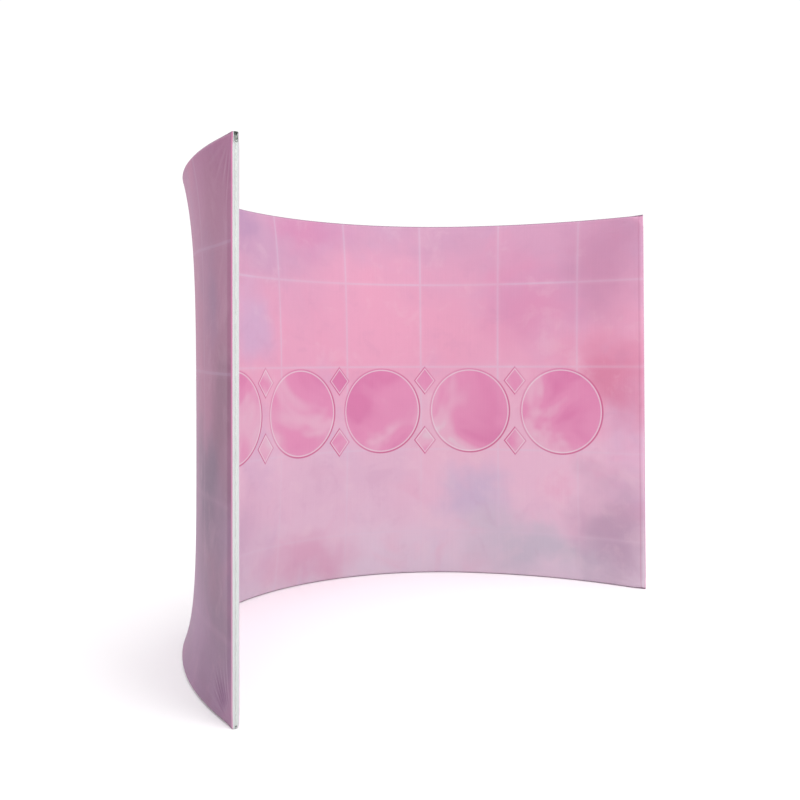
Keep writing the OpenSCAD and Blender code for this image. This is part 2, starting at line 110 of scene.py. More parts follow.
def zip_point(t, q, z):
    """Zip-end frame: t outwards from the post's axis, q towards the front face."""
    t, q, z = np.broadcast_arrays(np.asarray(t, float), np.asarray(q, float), np.asarray(z, float))
    return ZIP_ORIGIN + t[..., None] * ZIP_OUT + q[..., None] * ZIP_FRONT + z[..., None] * np.array([0, 0, 1.0])


def smooth(x):
    x = np.clip(x, 0, 1)
    return x * x * (3 - 2 * x)


def rise(z, k):
    t = np.clip((z - ZB) / (ZT - ZB), 0, 1)
    return (1 - np.cosh(k * (t - 0.5)) / math.cosh(k / 2)) / (1 - 1 / math.cosh(k / 2))


def front_in(s, z):
    return 0.067 * rise(z, 5) * (1 - np.exp(-np.maximum(SP - np.abs(s), 0) / 0.3))


def soft_ramp(x, w=0.008):
    return 0.5 * (x + np.sqrt(x * x + w * w)) - w / 2


KT, KB, BOW = 8.8, 13.5, 0.071


def back_share(s):
    """How much of the back's full bow there is at a run."""
    u = np.abs(s)
    outer = (1 - np.exp(-soft_ramp(np.maximum(u - SU - 0.004, 0)) / 0.15)) * (1 - np.exp(-soft_ramp(np.maximum(SP - 0.022 - u, 0), 0.02) / 0.3))
    inner = 1 - np.exp(-soft_ramp(np.maximum(SU - 0.004 - u, 0)) / 0.35)
    return np.where(u > SU, outer, inner)


def back_in(s, z):
    t = np.clip((z - ZB) / (ZT - ZB), 0, 1)
    share = back_share(s)
    # past its tangent point the cloth leaves the bottom rail's tube in a straight line
    slope = BOW * KB / (ZT - ZB) * share
    lean = np.arctan(slope)
    tangent = RO * np.sin(lean)
    dz = z - ZB
    on_tube = RO - np.sqrt(np.maximum(RO * RO - np.minimum(dz, tangent) ** 2, 0))
    free = BOW * (1 - np.exp(-KB * t)) * (1 - np.exp(-KT * (1 - t))) * share - RO * (1 / np.cos(lean) - 1) * np.exp(-np.maximum(dz, 0) / 0.15)
    return np.where(dz <= 0, 0.0, np.where(dz < tangent, on_tube, free))


END_B = 0.0150                 # half width of the cover's end at the zip


def seam_profile(delta, e):
    """Half thickness of cloth laid over a tube and drawn to a seam e outside its axis."""
    e = np.maximum(e, RO + 1e-7)
    dt = RO * RO / e
    on = np.sqrt(np.maximum(RO * RO - delta * delta, 0))
    offt = (e - delta) * RO / np.sqrt(e * e - RO * RO)
    return np.where(delta <= 0, RO, np.where(delta < dt, on, np.maximum(offt, 0)))


def half(S, Z, face=1):
    """Half thickness of the cover at run S and height Z, both of which may pass the frame's axes."""
    S, Z = np.broadcast_arrays(np.asarray(S, float), np.asarray(Z, float))
    u = np.abs(S)
    px = u - (SP - RC)
    pz = np.maximum(Z - (ZT - RC), (ZB + RC) - Z)
    corner = (px > 0) & (pz > 0)
    rho = np.hypot(np.maximum(px, 0), np.maximum(pz, 0))
    phi = np.arctan2(np.maximum(pz, 1e-9), np.maximum(px, 1e-9))
    # right-hand end and both rails: seams at RO outside the axes
    seam = np.minimum((RC + RO) / np.maximum(np.cos(phi), 1e-6), (RC + RO) / np.maximum(np.sin(phi), 1e-6))
    d_straight = np.maximum(px - RC, pz - RC)
    delta = np.where(corner, rho - RC, d_straight)
    e = np.where(corner, seam - RC, RO)
    right = seam_profile(delta, e)
    # zip end: the cover stays open by END_B at the zip and draws together along the rails
    to_zip = (RC + EL) / np.maximum(np.cos(phi), 1e-6) - RC
    to_rail = (RC + RO) / np.maximum(np.sin(phi), 1e-6) - RC
    on_rail = ~corner & (pz - RC > px - RC)
    reach = np.where(corner, np.minimum(to_zip, to_rail), np.where(on_rail, RO, EL))
    f = np.clip(np.where(corner, rho - RC, d_straight) / np.maximum(reach, 1e-6), 0, 1)
    deg = np.degrees(phi) * corner
    tip = np.where(Z > 1.15, 0.0126, 0.0136)
    b = END_B - (END_B - tip) * np.maximum(smooth((deg - 8) / 36), on_rail)
    open_end = RO - (RO - b) * f ** 2.2
    # the front cover's bottom corner is rounded off
    low = np.clip((0.017 - (Z - (ZB - RO))) / 0.017, 0, 1) * (face < 0)
    open_end = open_end * np.sqrt(1 - 0.80 * low * low * smooth((px - 0.030) / 0.045))
    closed = 1 - smooth((u - (SP + EL - 0.125)) / 0.125)
    w = closed * np.maximum(smooth((deg - 35) / 20), on_rail)
    left = (1 - w) * open_end + w * right
    return np.where(S < 0, left, right)


# Creases that fan out of the corners: corner side, face, angle from the wall's run (degrees), length, depth, width
FANS = [
    (-1, 0, 1, 24, 0.24, 0.0040, 0.0058), (-1, 0, 1, 33, 0.26, 0.0046, 0.0056), (-1, 0, 1, 42, 0.28, 0.0048, 0.0056),
    (-1, 0, 1, 52, 0.26, 0.0040, 0.0060), (-1, 0, 1, 64, 0.24, 0.0024, 0.0075), (-1, 0, 1, 77, 0.34, 0.0014, 0.009),
    (-1, 0, 1, 11, 0.30, 0.0014, 0.009), (-1, 1, 1, 80, 0.34, 0.0014, 0.010),
    (-1, 1, 1, 62, 0.26, 0.0012, 0.012), (-1, 1, 1, 38, 0.30, 0.0011, 0.012), (-1, 1, 1, 14, 0.36, 0.0010, 0.011),
    (-1, 0, -1, 80, 0.32, 0.0013, 0.010), (-1, 0, -1, 60, 0.24, 0.0012, 0.011), (-1, 1, -1, 74, 0.30, 0.0012, 0.010),
    (-1, 1, -1, 40, 0.22, 0.0010, 0.010), (1, 0, -1, 82, 0.26, 0.0011, 0.009), (1, 0, -1, 64, 0.24, 0.0012, 0.010),
    (1, 0, -1, 34, 0.28, 0.0013, 0.011), (1, 0, -1, 12, 0.34, 0.0011, 0.010), (1, 1, -1, 78, 0.26, 0.0010, 0.010),
    (1, 1, -1, 48, 0.20, 0.0009, 0.010), (1, 1, -1, 16, 0.30, 0.0010, 0.010), (1, 0, 1, 76, 0.30, 0.0013, 0.010),
    (1, 0, 1, 40, 0.24, 0.0011, 0.011), (1, 1, 1, 70, 0.28, 0.0011, 0.010), (1, 1, 1, 30, 0.26, 0.0010, 0.010),
]
# Soft marks left by packing: run or height, strength. The cover was folded on these lines.
FOLDS_S = [(-1.92, 0.0005), (-1.44, 0.0004), (-0.96, 0.0005), (-0.48, 0.0004), (0.03, 0.0005), (0.55, 0.0004), (1.09, 0.0008), (1.62, 0.0004), (2.08, 0.0004)]
FOLDS_Z = [(0.58, 0.0004), (1.15, 0.0004), (1.72, 0.0004)]


def creases(S, Z, face):
    """Inward displacement of the cloth from corner creases and packing folds."""
    S, Z = np.broadcast_arrays(S, Z)
    out = np.zeros(S.shape)
    for side, top, fc, deg, length, depth, width in FANS:
        if fc != face:
            continue
        a = (SP + 0.004) - side * S
        b = (ZT + 0.004) - Z if top else Z - (ZB - 0.004)
        r = np.hypot(a, b)
        t = math.radians(deg)
        along = a * math.cos(t) + b * math.sin(t)
        wander = 0.010 * np.sin(along * 13 + deg) * along
        across = -a * math.sin(t) + b * math.cos(t) + wander
        w = width * (0.75 + 1.2 * np.clip(along, 0, 1))
        env = smooth((along - 0.03) / 0.08) * (1 - smooth((along - 0.35 * length) / (0.65 * length))) * (along > 0)
        out += depth * env * (np.exp(-(across / w) ** 2) - 0.55 * np.exp(-((across - 1.9 * w) / (1.2 * w)) ** 2))
    inside = smooth((SP - 0.03 - np.abs(S)) / 0.05) * smooth((Z - ZB - 0.05) / 0.1) * smooth((ZT - 0.05 - Z) / 0.1)
    for s0, k in FOLDS_S:
        out += k * inside * (0.6 + 0.4 * np.sin(Z * 5 + s0 * 7)) * np.exp(-np.abs(S - s0 - 0.004 * np.sin(Z * 3.1 + s0)) / 0.010)
    for z0, k in FOLDS_Z:
        out += k * inside * (0.6 + 0.4 * np.sin(S * 4 + z0)) * np.exp(-np.abs(Z - z0 - 0.003 * np.sin(S * 2.7)) / 0.010)
    # the cloth draws in a little between its stitches along the rails
    near = np.exp(-(ZT - Z) / 0.10) * (Z < ZT - 0.016) + np.exp(-(Z - ZB) / 0.10) * (Z > ZB + 0.016)
    pucker = 0.00035 * near * (0.5 + 0.5 * np.sin(S * 96 + 2.1 * np.sin(S * 7.3) + face))
    return out + pucker * smooth((SP - np.abs(S)) / 0.06)


def ear(S, Z):
    """The cover's top corner stands a little above the rail at the right, and sinks a little at the zip."""
    S, Z = np.broadcast_arrays(np.asarray(S, float), np.asarray(Z, float))
    u = np.abs(S)
    out = smooth((u - (SP - 0.085)) / 0.104) ** 1.5
    up = smooth((Z - (ZT - 0.070)) / 0.086)
    return out * up * np.where(S < 0, -0.0030, 0.0035)


def surface(S, Z, face):
    """Offset of the cover's outer surface from the centreline plane, signed outwards."""
    inward = front_in(S, Z) if face < 0 else back_in(S, Z)
    h = half(S, Z, face)
    c = creases(S, Z, face) * smooth((h / RO - 0.85) / 0.15)
    return face * (h - c) - inward


# ---------------------------------------------------------------------------
# Mesh helpers
# ---------------------------------------------------------------------------


def new_object(name, verts, faces, smooth_it=True, mat=None):
    me = bpy.data.meshes.new(name)
    me.from_pydata([tuple(map(float, v)) for v in verts], [], [tuple(map(int, f)) for f in faces])
    me.validate()
    me.update()
    if smooth_it:
        me.shade_smooth()
    ob = bpy.data.objects.new(name, me)
    bpy.context.scene.collection.objects.link(ob)
    if mat:
        me.materials.append(mat)
    return ob


def sharpen(ob, degrees=40):
    """Smooth shading with edges over this angle kept sharp."""
    me = ob.data
    me.shade_smooth()
    me.set_sharp_from_angle(angle=math.radians(degrees))
    return ob


def bevel(ob, width, segments=2, degrees=35):
    m = ob.modifiers.new("edge", "BEVEL")
    m.width, m.segments, m.limit_method, m.angle_limit = width, segments, "ANGLE", math.radians(degrees)
    m.harden_normals = False
    apply_modifiers(ob)
    return sharpen(ob, 50)


def apply_modifiers(ob):
    dg = bpy.context.evaluated_depsgraph_get()
    me = bpy.data.meshes.new_from_object(ob.evaluated_get(dg))
    ob.modifiers.clear()
    old = ob.data
    ob.data = me
    bpy.data.meshes.remove(old)
    me.name = ob.name


def join_meshes(name, parts, mat=None, smooth_it=True):
    """parts: list of (verts array, faces list). One mesh object."""
    verts, faces, base = [], [], 0
    for v, f in parts:
        verts.append(np.asarray(v, float).reshape(-1, 3))
        faces.extend([tuple(i + base for i in face) for face in f])
        base += len(verts[-1])
    return new_object(name, np.concatenate(verts), faces, smooth_it, mat)


def grid_faces(n, m, base=0, flip=False):
    i, j = np.meshgrid(np.arange(n - 1), np.arange(m - 1), indexing="ij")
    a = base + i * m + j
    q = np.stack([a, a + m, a + m + 1, a + 1], -1).reshape(-1, 4)
    return q[:, ::-1] if flip else q


def thin_solid(outer, inner, flip):
    """Faces of a closed thin solid between two grids of n by m points."""
    n, m = outer.shape[:2]
    k = n * m
    faces = [grid_faces(n, m, 0, flip), grid_faces(n, m, k, not flip)]

    def rim(idx):
        idx = np.asarray(idx)
        return np.stack([idx[:-1], idx[:-1] + k, idx[1:] + k, idx[1:]], -1)

    a = np.arange(n) * m
    rims = [rim(a), rim(a + m - 1)[:, ::-1], rim(np.arange(m))[:, ::-1], rim((n - 1) * m + np.arange(m))]
    faces += [r if flip else r[:, ::-1] for r in rims]
    return np.concatenate([outer.reshape(-1, 3), inner.reshape(-1, 3)]), np.concatenate(faces)


def grid_normals(p, sign):
    du = np.gradient(p, axis=0)
    dv = np.gradient(p, axis=1)
    n = np.cross(du, dv)
    n /= np.maximum(np.linalg.norm(n, axis=-1, keepdims=True), 1e-12)
    return sign * n


# ---------------------------------------------------------------------------
# Material helpers
# ---------------------------------------------------------------------------


def lin(r, g, b):
    def f(c):
        c /= 255
        return c / 12.92 if c <= 0.04045 else ((c + 0.055) / 1.055) ** 2.4
    return (f(r), f(g), f(b), 1.0)


class Net:
    """A small builder for node materials."""

    def __init__(self, name):
        self.mat = bpy.data.materials.new(name)
        self.mat.use_nodes = True
        self.t = self.mat.node_tree
        self.t.nodes.clear()
        self.out = self.t.nodes.new("ShaderNodeOutputMaterial")
        self.p = self.t.nodes.new("ShaderNodeBsdfPrincipled")
        self.t.links.new(self.p.outputs[0], self.out.inputs[0])

    def set(self, **kw):
        for k, v in kw.items():
            s = self.p.inputs[k.replace("_", " ")]
            if isinstance(v, bpy.types.NodeSocket):
                self.t.links.new(v, s)
            else:
                s.default_value = v
        return self

    def node(self, kind, **props):
        n = self.t.nodes.new(kind)
        for k, v in props.items():
            setattr(n, k, v)
        return n

    def plug(self, socket, v):
        if isinstance(v, bpy.types.NodeSocket):
            self.t.links.new(v, socket)
        elif v is not None:
            socket.default_value = v

    def math(self, op, a, b=None, c=None, clamp=False):
        n = self.node("ShaderNodeMath", operation=op, use_clamp=clamp)
        self.plug(n.inputs[0], a)
        self.plug(n.inputs[1], b)
        self.plug(n.inputs[2], c)
        return n.outputs[0]

    def step(self, x, lo, hi):
        """0 below lo, 1 above hi, smooth between. lo may be the larger."""
        n = self.node("ShaderNodeMapRange", interpolation_type="SMOOTHSTEP")
        self.plug(n.inputs["Value"], x)
        if lo < hi:
            args = (lo, hi, 0.0, 1.0)
        else:
            args = (hi, lo, 1.0, 0.0)
        for i, v in enumerate(args):
            n.inputs[1 + i].default_value = v
        return n.outputs[0]

    def vec(self, x, y, z=0.0):
        n = self.node("ShaderNodeCombineXYZ")
        for i, v in enumerate((x, y, z)):
            self.plug(n.inputs[i], v)
        return n.outputs[0]

    def mix(self, f, a, b, blend="MIX"):
        n = self.node("ShaderNodeMix", data_type="RGBA", blend_type=blend)
        self.plug(n.inputs[0], f)
        self.plug(n.inputs[6], a)
        self.plug(n.inputs[7], b)
        return n.outputs[2]

    def noise(self, v, scale, detail=2.0, rough=0.5, distort=0.0):
        n = self.node("ShaderNodeTexNoise")
        self.plug(n.inputs["Vector"], v)
        n.inputs["Scale"].default_value = scale
        n.inputs["Detail"].default_value = detail
        n.inputs["Roughness"].default_value = rough
        n.inputs["Distortion"].default_value = distort
        return n.outputs[0]

    def noise_colour(self, v, scale, detail=2.0):
        n = self.node("ShaderNodeTexNoise")
        self.plug(n.inputs["Vector"], v)
        n.inputs["Scale"].default_value = scale
        n.inputs["Detail"].default_value = detail
        return n.outputs["Color"]

    def wave(self, v, scale, axis="X", distort=0.0, profile="SIN"):
        n = self.node("ShaderNodeTexWave", wave_type="BANDS", bands_direction=axis, wave_profile=profile)
        self.plug(n.inputs["Vector"], v)
        n.inputs["Scale"].default_value = scale
        n.inputs["Distortion"].default_value = distort
        n.inputs["Detail"].default_value = 0
        return n.outputs["Fac"]

    def ramp(self, f, stops):
        n = self.node("ShaderNodeValToRGB")
        n.color_ramp.interpolation = "EASE"
        e = n.color_ramp.elements
        while len(e) < len(stops):
            e.new(0.5)
        for i, (pos, col) in enumerate(stops):
            e[i].position = pos
            e[i].color = col
        self.plug(n.inputs[0], f)
        return n.outputs[0]

    def bump(self, h, strength, distance):
        n = self.node("ShaderNodeBump")
        n.inputs["Strength"].default_value = strength
        n.inputs["Distance"].default_value = distance
        self.plug(n.inputs["Height"], h)
        return n.outputs[0]

    def coords(self, kind="Object"):
        return self.node("ShaderNodeTexCoord").outputs[kind]

    def uv(self, name):
        return self.node("ShaderNodeUVMap", uv_map=name).outputs[0]

    def split(self, v):
        n = self.node("ShaderNodeSeparateXYZ")
        self.plug(n.inputs[0], v)
        return n.outputs[0], n.outputs[1], n.outputs[2]


# --- the print ---------------------------------------------------------------

GRID_S, GRID_S0 = 0.532, -0.162
GRID_Z, GRID_Z0 = 0.540, 1.905
LINE_W = 0.0130
DISC_P, DISC_R, DISC_Z = 0.62, 0.272, 1.080

# Soft washes: run, height, half width, half height, colour, strength
FRONT_WASHES = [
    (-0.30, 2.10, 0.36, 0.30, (202, 158, 194), 0.52),
    (-0.52, 2.26, 0.22, 0.17, (186, 142, 184), 0.68),
    (-0.44, 1.60, 0.22, 0.30, (206, 176, 214), 0.62),
    (0.10, 2.25, 0.35, 0.22, (218, 138, 182), 0.70),
    (0.72, 1.72, 0.75, 0.42, (243, 166, 197), 0.70),
    (0.95, 2.22, 0.60, 0.16, (216, 158, 192), 0.55),
    (1.62, 1.78, 0.42, 0.36, (228, 144, 184), 0.70),
    (2.12, 2.02, 0.30, 0.45, (200, 135, 172), 0.62),
    (2.22, 1.28, 0.35, 0.34, (220, 126, 162), 0.80),
    (1.02, 0.95, 0.75, 0.34, (236, 184, 208), 0.60),
    (0.25, 0.62, 0.75, 0.34, (228, 184, 210), 0.75),
    (1.28, 0.48, 0.28, 0.24, (199, 181, 212), 0.66),
    (1.72, 0.22, 0.62, 0.22, (203, 189, 208), 0.80),
    (2.22, 0.36, 0.34, 0.38, (187, 151, 179), 0.80),
    (0.05, 0.16, 0.42, 0.22, (222, 152, 186), 0.65),
    (-0.55, 0.35, 0.36, 0.40, (206, 162, 194), 0.65),
    (-1.25, 1.60, 0.60, 0.50, (236, 158, 192), 0.60),
    (-1.75, 0.55, 0.50, 0.42, (198, 176, 208), 0.70),
    (-2.05, 1.75, 0.36, 0.50, (210, 146, 184), 0.60),
    (-1.10, 0.75, 0.42, 0.30, (232, 186, 210), 0.60),
]
# Washes of the back; the first five, on the wing by the zip, are darker: partly print and partly painted shade
BACK_WASHES = [
    (-2.20, 2.00, 0.30, 0.42, (196, 134, 168), 0.70),
    (-1.98, 1.66, 0.22, 0.26, (173, 134, 172), 0.75),
    (-2.24, 1.20, 0.24, 0.36, (154, 102, 135), 0.72),
    (-2.02, 0.92, 0.26, 0.30, (128, 105, 137), 0.78),
    (-2.16, 0.42, 0.34, 0.40, (150, 124, 148), 0.70),
    (-1.60, 1.50, 0.40, 0.50, (222, 150, 186), 0.60),
    (-1.10, 0.60, 0.50, 0.40, (198, 178, 208), 0.70),
    (-0.40, 1.90, 0.60, 0.40, (238, 164, 196), 0.60),
    (0.20, 0.55, 0.60, 0.40, (226, 184, 208), 0.65),
    (0.70, 1.75, 0.45, 0.45, (206, 166, 206), 0.65),
    (1.30, 0.45, 0.45, 0.35, (222, 152, 186), 0.60),
    (1.65, 1.85, 0.45, 0.40, (228, 146, 184), 0.65),
    (2.12, 0.80, 0.34, 0.50, (192, 160, 194), 0.70),
    (2.10, 2.05, 0.32, 0.30, (212, 150, 188), 0.60),
]


# turned_edge_highlight holds the two colours of the painted highlight on the back's edge turned round to the zip
def print_material(name, washes, top, middle, low, streak, tint, s0, pull, turned_edge_highlight, discs):
    n = Net(name)
    s, z, _ = n.split(n.uv("print"))
    flat = n.vec(s, z, 0.0)
    # watercolour ground: slow noise bends every wash's edge
    wob_s = n.math("MULTIPLY", n.math("SUBTRACT", n.noise(flat, 2.1, 3, 0.55), 0.5), 0.62)
    wob_z = n.math("MULTIPLY", n.math("SUBTRACT", n.noise(n.vec(s, z, 7.3), 2.4, 3, 0.55), 0.5), 0.62)
    ws, wz = n.math("ADD", s, wob_s), n.math("ADD", z, wob_z)
    base = n.ramp(n.math("DIVIDE", wz, 2.3), [(0.0, lin(*low)), (0.30, lin(*middle[0])), (0.62, lin(*middle[1])), (1.0, lin(*top))])
    cloud = n.noise(n.vec(s, z, 3.1), 1.35, 4, 0.58, 0.7)
    base = n.mix(n.math("MULTIPLY", n.step(cloud, 0.48, 0.72), 0.40), base, lin(206, 168, 206))
    cloud2 = n.noise(n.vec(s, z, 11.7), 1.7, 4, 0.60, 0.9)
    base = n.mix(n.math("MULTIPLY", n.step(cloud2, 0.50, 0.74), 0.45), base, lin(240, 160, 192))
    for i, (cs, cz, rs, rz, col, k) in enumerate(washes):
        a = n.math("DIVIDE", n.math("SUBTRACT", ws, cs), rs)
        b = n.math("DIVIDE", n.math("SUBTRACT", wz, cz), rz)
        d = n.math("SQRT", n.math("ADD", n.math("MULTIPLY", a, a), n.math("MULTIPLY", b, b)))
        base = n.mix(n.math("MULTIPLY", n.step(d, 1.25, 0.15), k), base, lin(*col))
    # dried edges and small blooms in the washes
    bloom = n.noise(n.vec(s, z, 21.0), 5.5, 5, 0.62, 0.4)
    base = n.mix(n.math("MULTIPLY", n.step(bloom, 0.52, 0.70), 0.16), base, lin(246, 206, 222))
    base = n.mix(n.math("MULTIPLY", n.step(bloom, 0.46, 0.30), 0.12), base, lin(196, 140, 178))
    # printed squares
    def lines(x, x0, pitch):
        k = n.math("FRACT", n.math("ADD", n.math("DIVIDE", n.math("SUBTRACT", x, x0), pitch), 0.5))
        d = n.math("MULTIPLY", n.math("ABSOLUTE", n.math("SUBTRACT", k, 0.5)), pitch)
        return n.step(d, LINE_W / 2 + 0.0030, LINE_W / 2 - 0.0030), n.step(d, 0.030, 0.004)
    drawn = n.math("MULTIPLY", n.step(s, -1.5, -2.38), pull / 0.755)
    zg = n.math("ADD", z, n.math("MULTIPLY", n.math("SUBTRACT", z, 1.15), drawn))
    vs, vs_halo = lines(s, s0, GRID_S)
    vz, vz_halo = lines(zg, GRID_Z0, GRID_Z)
    fade = n.math("MULTIPLY_ADD", n.noise(n.vec(s, z, 31.0), 1.6, 2), 0.52, -0.02, clamp=True)
    fade = n.math("MULTIPLY", fade, n.math("MULTIPLY_ADD", n.step(z, 0.2, 1.35), 0.55, 0.45))
    fade = n.math("MULTIPLY", fade, n.math("MULTIPLY_ADD", n.step(s, 2.30, 1.50), 0.40, 0.60))
    if turned_edge_highlight:
        fade = n.math("MULTIPLY", fade, n.math("MULTIPLY_ADD", n.step(z, 0.9, 1.5), 0.80, 0.20))
    grid = n.math("MAXIMUM", vs, vz)
    halo = n.math("MAXIMUM", vs_halo, vz_halo)
    ground = n.mix(n.math("MULTIPLY", halo, 0.10), base, lin(238, 196, 218))
    ground = n.mix(n.math("MULTIPLY", grid, n.math("MULTIPLY", fade, 1.05, clamp=True)), ground, lin(220, 202, 227))
    # a border of plain discs and small diamonds at mid-height, printed as if raised
    k = n.math("MINIMUM", n.math("MAXIMUM", n.math("ROUND", n.math("DIVIDE", s, DISC_P)), -discs), discs)
    dx = n.math("SUBTRACT", s, n.math("MULTIPLY", k, DISC_P))
    dz = n.math("SUBTRACT", z, DISC_Z)
    r = n.math("SQRT", n.math("ADD", n.math("MULTIPLY", dx, dx), n.math("MULTIPLY", dz, dz)))
    kd = n.math("MINIMUM", n.math("MAXIMUM", n.math("ROUND", n.math("SUBTRACT", n.math("DIVIDE", s, DISC_P), 0.5)), -discs), discs - 1.0)
    gx = n.math("SUBTRACT", s, n.math("MULTIPLY", n.math("ADD", kd, 0.5), DISC_P))
    gz = n.math("SUBTRACT", n.math("ABSOLUTE", dz), 0.195)
    g = n.math("ADD", n.math("ABSOLUTE", gx), n.math("MULTIPLY", n.math("ABSOLUTE", gz), 0.82))
    edge = n.math("MINIMUM", n.math("SUBTRACT", r, DISC_R), n.math("SUBTRACT", g, 0.072))
    inside = n.step(edge, 0.0012, -0.0012)
    tone = n.noise(n.vec(s, z, 43.0), 1.9, 3, 0.5, 0.5)
    fill = n.ramp(tone, [(0.34, lin(222, 120, 172)), (0.48, lin(232, 142, 186)), (0.60, lin(236, 176, 204)), (0.72, lin(226, 214, 224))])
    col = n.mix(n.math("MULTIPLY", inside, 0.88), ground, fill)
    lean = n.math("DIVIDE", n.math("SUBTRACT", n.math("MULTIPLY", dx, 0.75), n.math("MULTIPLY", dz, 0.66)), n.math("MAXIMUM", r, 0.01))
    pale = n.math("MULTIPLY", n.step(edge, -0.0140, -0.0110), n.step(edge, -0.0035, -0.0065))
    dark = n.math("MULTIPLY", n.step(edge, -0.0045, -0.0020), n.step(edge, 0.0085, 0.0030))
    col = n.mix(n.math("MULTIPLY", n.math("MULTIPLY", dark, n.math("MULTIPLY_ADD", n.step(lean, -0.7, 0.8), 0.65, 0.35)), 0.80), col, lin(205, 84, 138))
    col = n.mix(n.math("MULTIPLY", pale, 0.66), col, lin(240, 216, 230))
    # cloth: slow shade changes, and the fine upright streaks of a stretched knit
    thread = n.noise(n.vec(n.math("MULTIPLY", s, 1.0), n.math("MULTIPLY", z, 0.015), 5.0), 190.0, 2, 0.6)
    thread2 = n.noise(n.vec(n.math("MULTIPLY", s, 0.02), z, 9.0), 150.0, 2, 0.6)
    shade = n.math("ADD", n.math("MULTIPLY", n.math("SUBTRACT", thread, 0.5), streak), n.math("MULTIPLY", n.math("SUBTRACT", thread2, 0.5), streak * 0.4))
    grain = n.math("MULTIPLY", n.math("SUBTRACT", n.noise(n.vec(s, z, 2.0), 620.0, 1), 0.5), 0.05)
    bright = n.math("ADD", n.math("ADD", shade, grain), 1.0)
    col = n.mix(1.0, col, n.vec(bright, bright, bright), "MULTIPLY")
    # tint multiplies the whole print; the back's dark tint is painted shade, its outer face shown as if turned away
    # from the light
    col = n.mix(1.0, col, tint + (1.0,), "MULTIPLY")
    # painted shade: the cloth is darkened where it turns over the top rail to its seam
    col = n.mix(n.math("MULTIPLY", n.step(z, 2.2880, 2.2950), 0.42), col, lin(122, 88, 112))
    # painted shade: a darker line down the right-hand end where the cloth folds round the end post
    end_fold_shade = n.math("MULTIPLY", n.step(s, SP - 0.0125, SP - 0.0085), n.step(s, SP - 0.0015, SP - 0.0050))
    col = n.mix(n.math("MULTIPLY", end_fold_shade, 0.30), col, lin(160, 96, 126))
    if turned_edge_highlight:
        # painted highlight: the edge turned round to the zip is shown in a brighter pink, as lit from the front
        painted_edge_highlight = n.mix(n.step(z, 1.7, 0.2), lin(*turned_edge_highlight[0]), lin(*turned_edge_highlight[1]))
        col = n.mix(n.math("MULTIPLY", n.step(s, -SP - 0.0110, -SP - 0.0125), 0.85), col, painted_edge_highlight)
    knit_s = n.wave(flat, 250.0, "X", 0.6)
    knit_z = n.wave(flat, 330.0, "Y", 0.6)
    weave = n.math("ADD", n.math("MULTIPLY", knit_s, 0.5), n.math("MULTIPLY", knit_z, 0.5))
    slow = n.noise(n.vec(s, z, 17.0), 26.0, 3, 0.55)
    height = n.math("ADD", n.math("MULTIPLY", weave, 0.35), n.math("MULTIPLY", slow, 0.65))
    rough = n.math("MULTIPLY_ADD", n.noise(n.vec(s, z, 13.0), 40.0, 3), 0.14, 0.62)
    n.set(Base_Color=col, Roughness=rough, Normal=n.bump(height, 0.22, 0.0006))
    n.set(Sheen_Weight=0.22, Sheen_Roughness=0.45, Specular_IOR_Level=0.28)
    n.p.inputs["Sheen Tint"].default_value = lin(255, 240, 248)
    return n.mat


def webbing_material(name, colour, dark, ribs, axis="Z", rough=0.8):
    """Narrow woven tape: ribs across it, fine fuzz and a little soiling."""
    n = Net(name)
    c = n.coords()
    x, y, z = n.split(c)
    along = z if axis == "Z" else n.math("ADD", n.math("MULTIPLY", x, 1.0), n.math("MULTIPLY", y, 1.0))
    rib = n.wave(n.vec(along, 0.0, 0.0), ribs, "X", 0.25)
    fuzz = n.noise(c, 900.0, 2)
    soil = n.noise(c, 7.0, 4, 0.6)
    col = n.mix(n.math("MULTIPLY", n.step(rib, 0.45, 0.05), 0.22), lin(*colour), lin(*dark))
    col = n.mix(n.math("MULTIPLY", n.step(fuzz, 0.52, 0.35), 0.18), col, lin(*dark))
    col = n.mix(n.math("MULTIPLY", n.step(soil, 0.50, 0.78), 0.16), col, lin(*dark))
    h = n.math("ADD", n.math("MULTIPLY", rib, 0.7), n.math("MULTIPLY", fuzz, 0.3))
    n.set(Base_Color=col, Roughness=n.math("MULTIPLY_ADD", fuzz, 0.12, rough - 0.06), Normal=n.bump(h, 0.45, 0.0003))
    n.set(Sheen_Weight=0.15, Specular_IOR_Level=0.3)
    return n.mat


def metal_material(name, colour, dark, rough, wear=(214, 216, 212), wear_k=0.35, scale=60.0, brushed=None, metallic=1.0):
    """Cast or drawn metal with scuffs, handling marks and fine grain."""
    n = Net(name)
    c = n.coords()
    cloud = n.noise(c, scale * 0.35, 4, 0.6)
    grain = n.noise(c, scale * 14, 2)
    scuff = n.noise(c, scale, 5, 0.68, 0.6)
    if brushed:
        x, y, z = n.split(c)
        f = {"Z": (1.0, 1.0, 0.02), "R": (0.05, 0.05, 1.0)}[brushed]
        grain = n.noise(n.vec(n.math("MULTIPLY", x, f[0]), n.math("MULTIPLY", y, f[1]), n.math("MULTIPLY", z, f[2])), scale * 18, 3, 0.6)
    col = n.mix(n.step(cloud, 0.35, 0.7), lin(*colour), lin(*dark))
    col = n.mix(n.math("MULTIPLY", n.step(scuff, 0.56, 0.72), wear_k), col, lin(*wear))
    r = n.math("ADD", n.math("MULTIPLY", n.math("SUBTRACT", cloud, 0.5), 0.20), n.math("MULTIPLY_ADD", grain, 0.12, rough - 0.06))
    n.set(Base_Color=col, Roughness=r, Normal=n.bump(n.math("ADD", n.math("MULTIPLY", grain, 0.5), n.math("MULTIPLY", scuff, 0.5)), 0.12, 0.0002))
    n.set(Metallic=metallic, Specular_IOR_Level=0.5)
    return n.mat


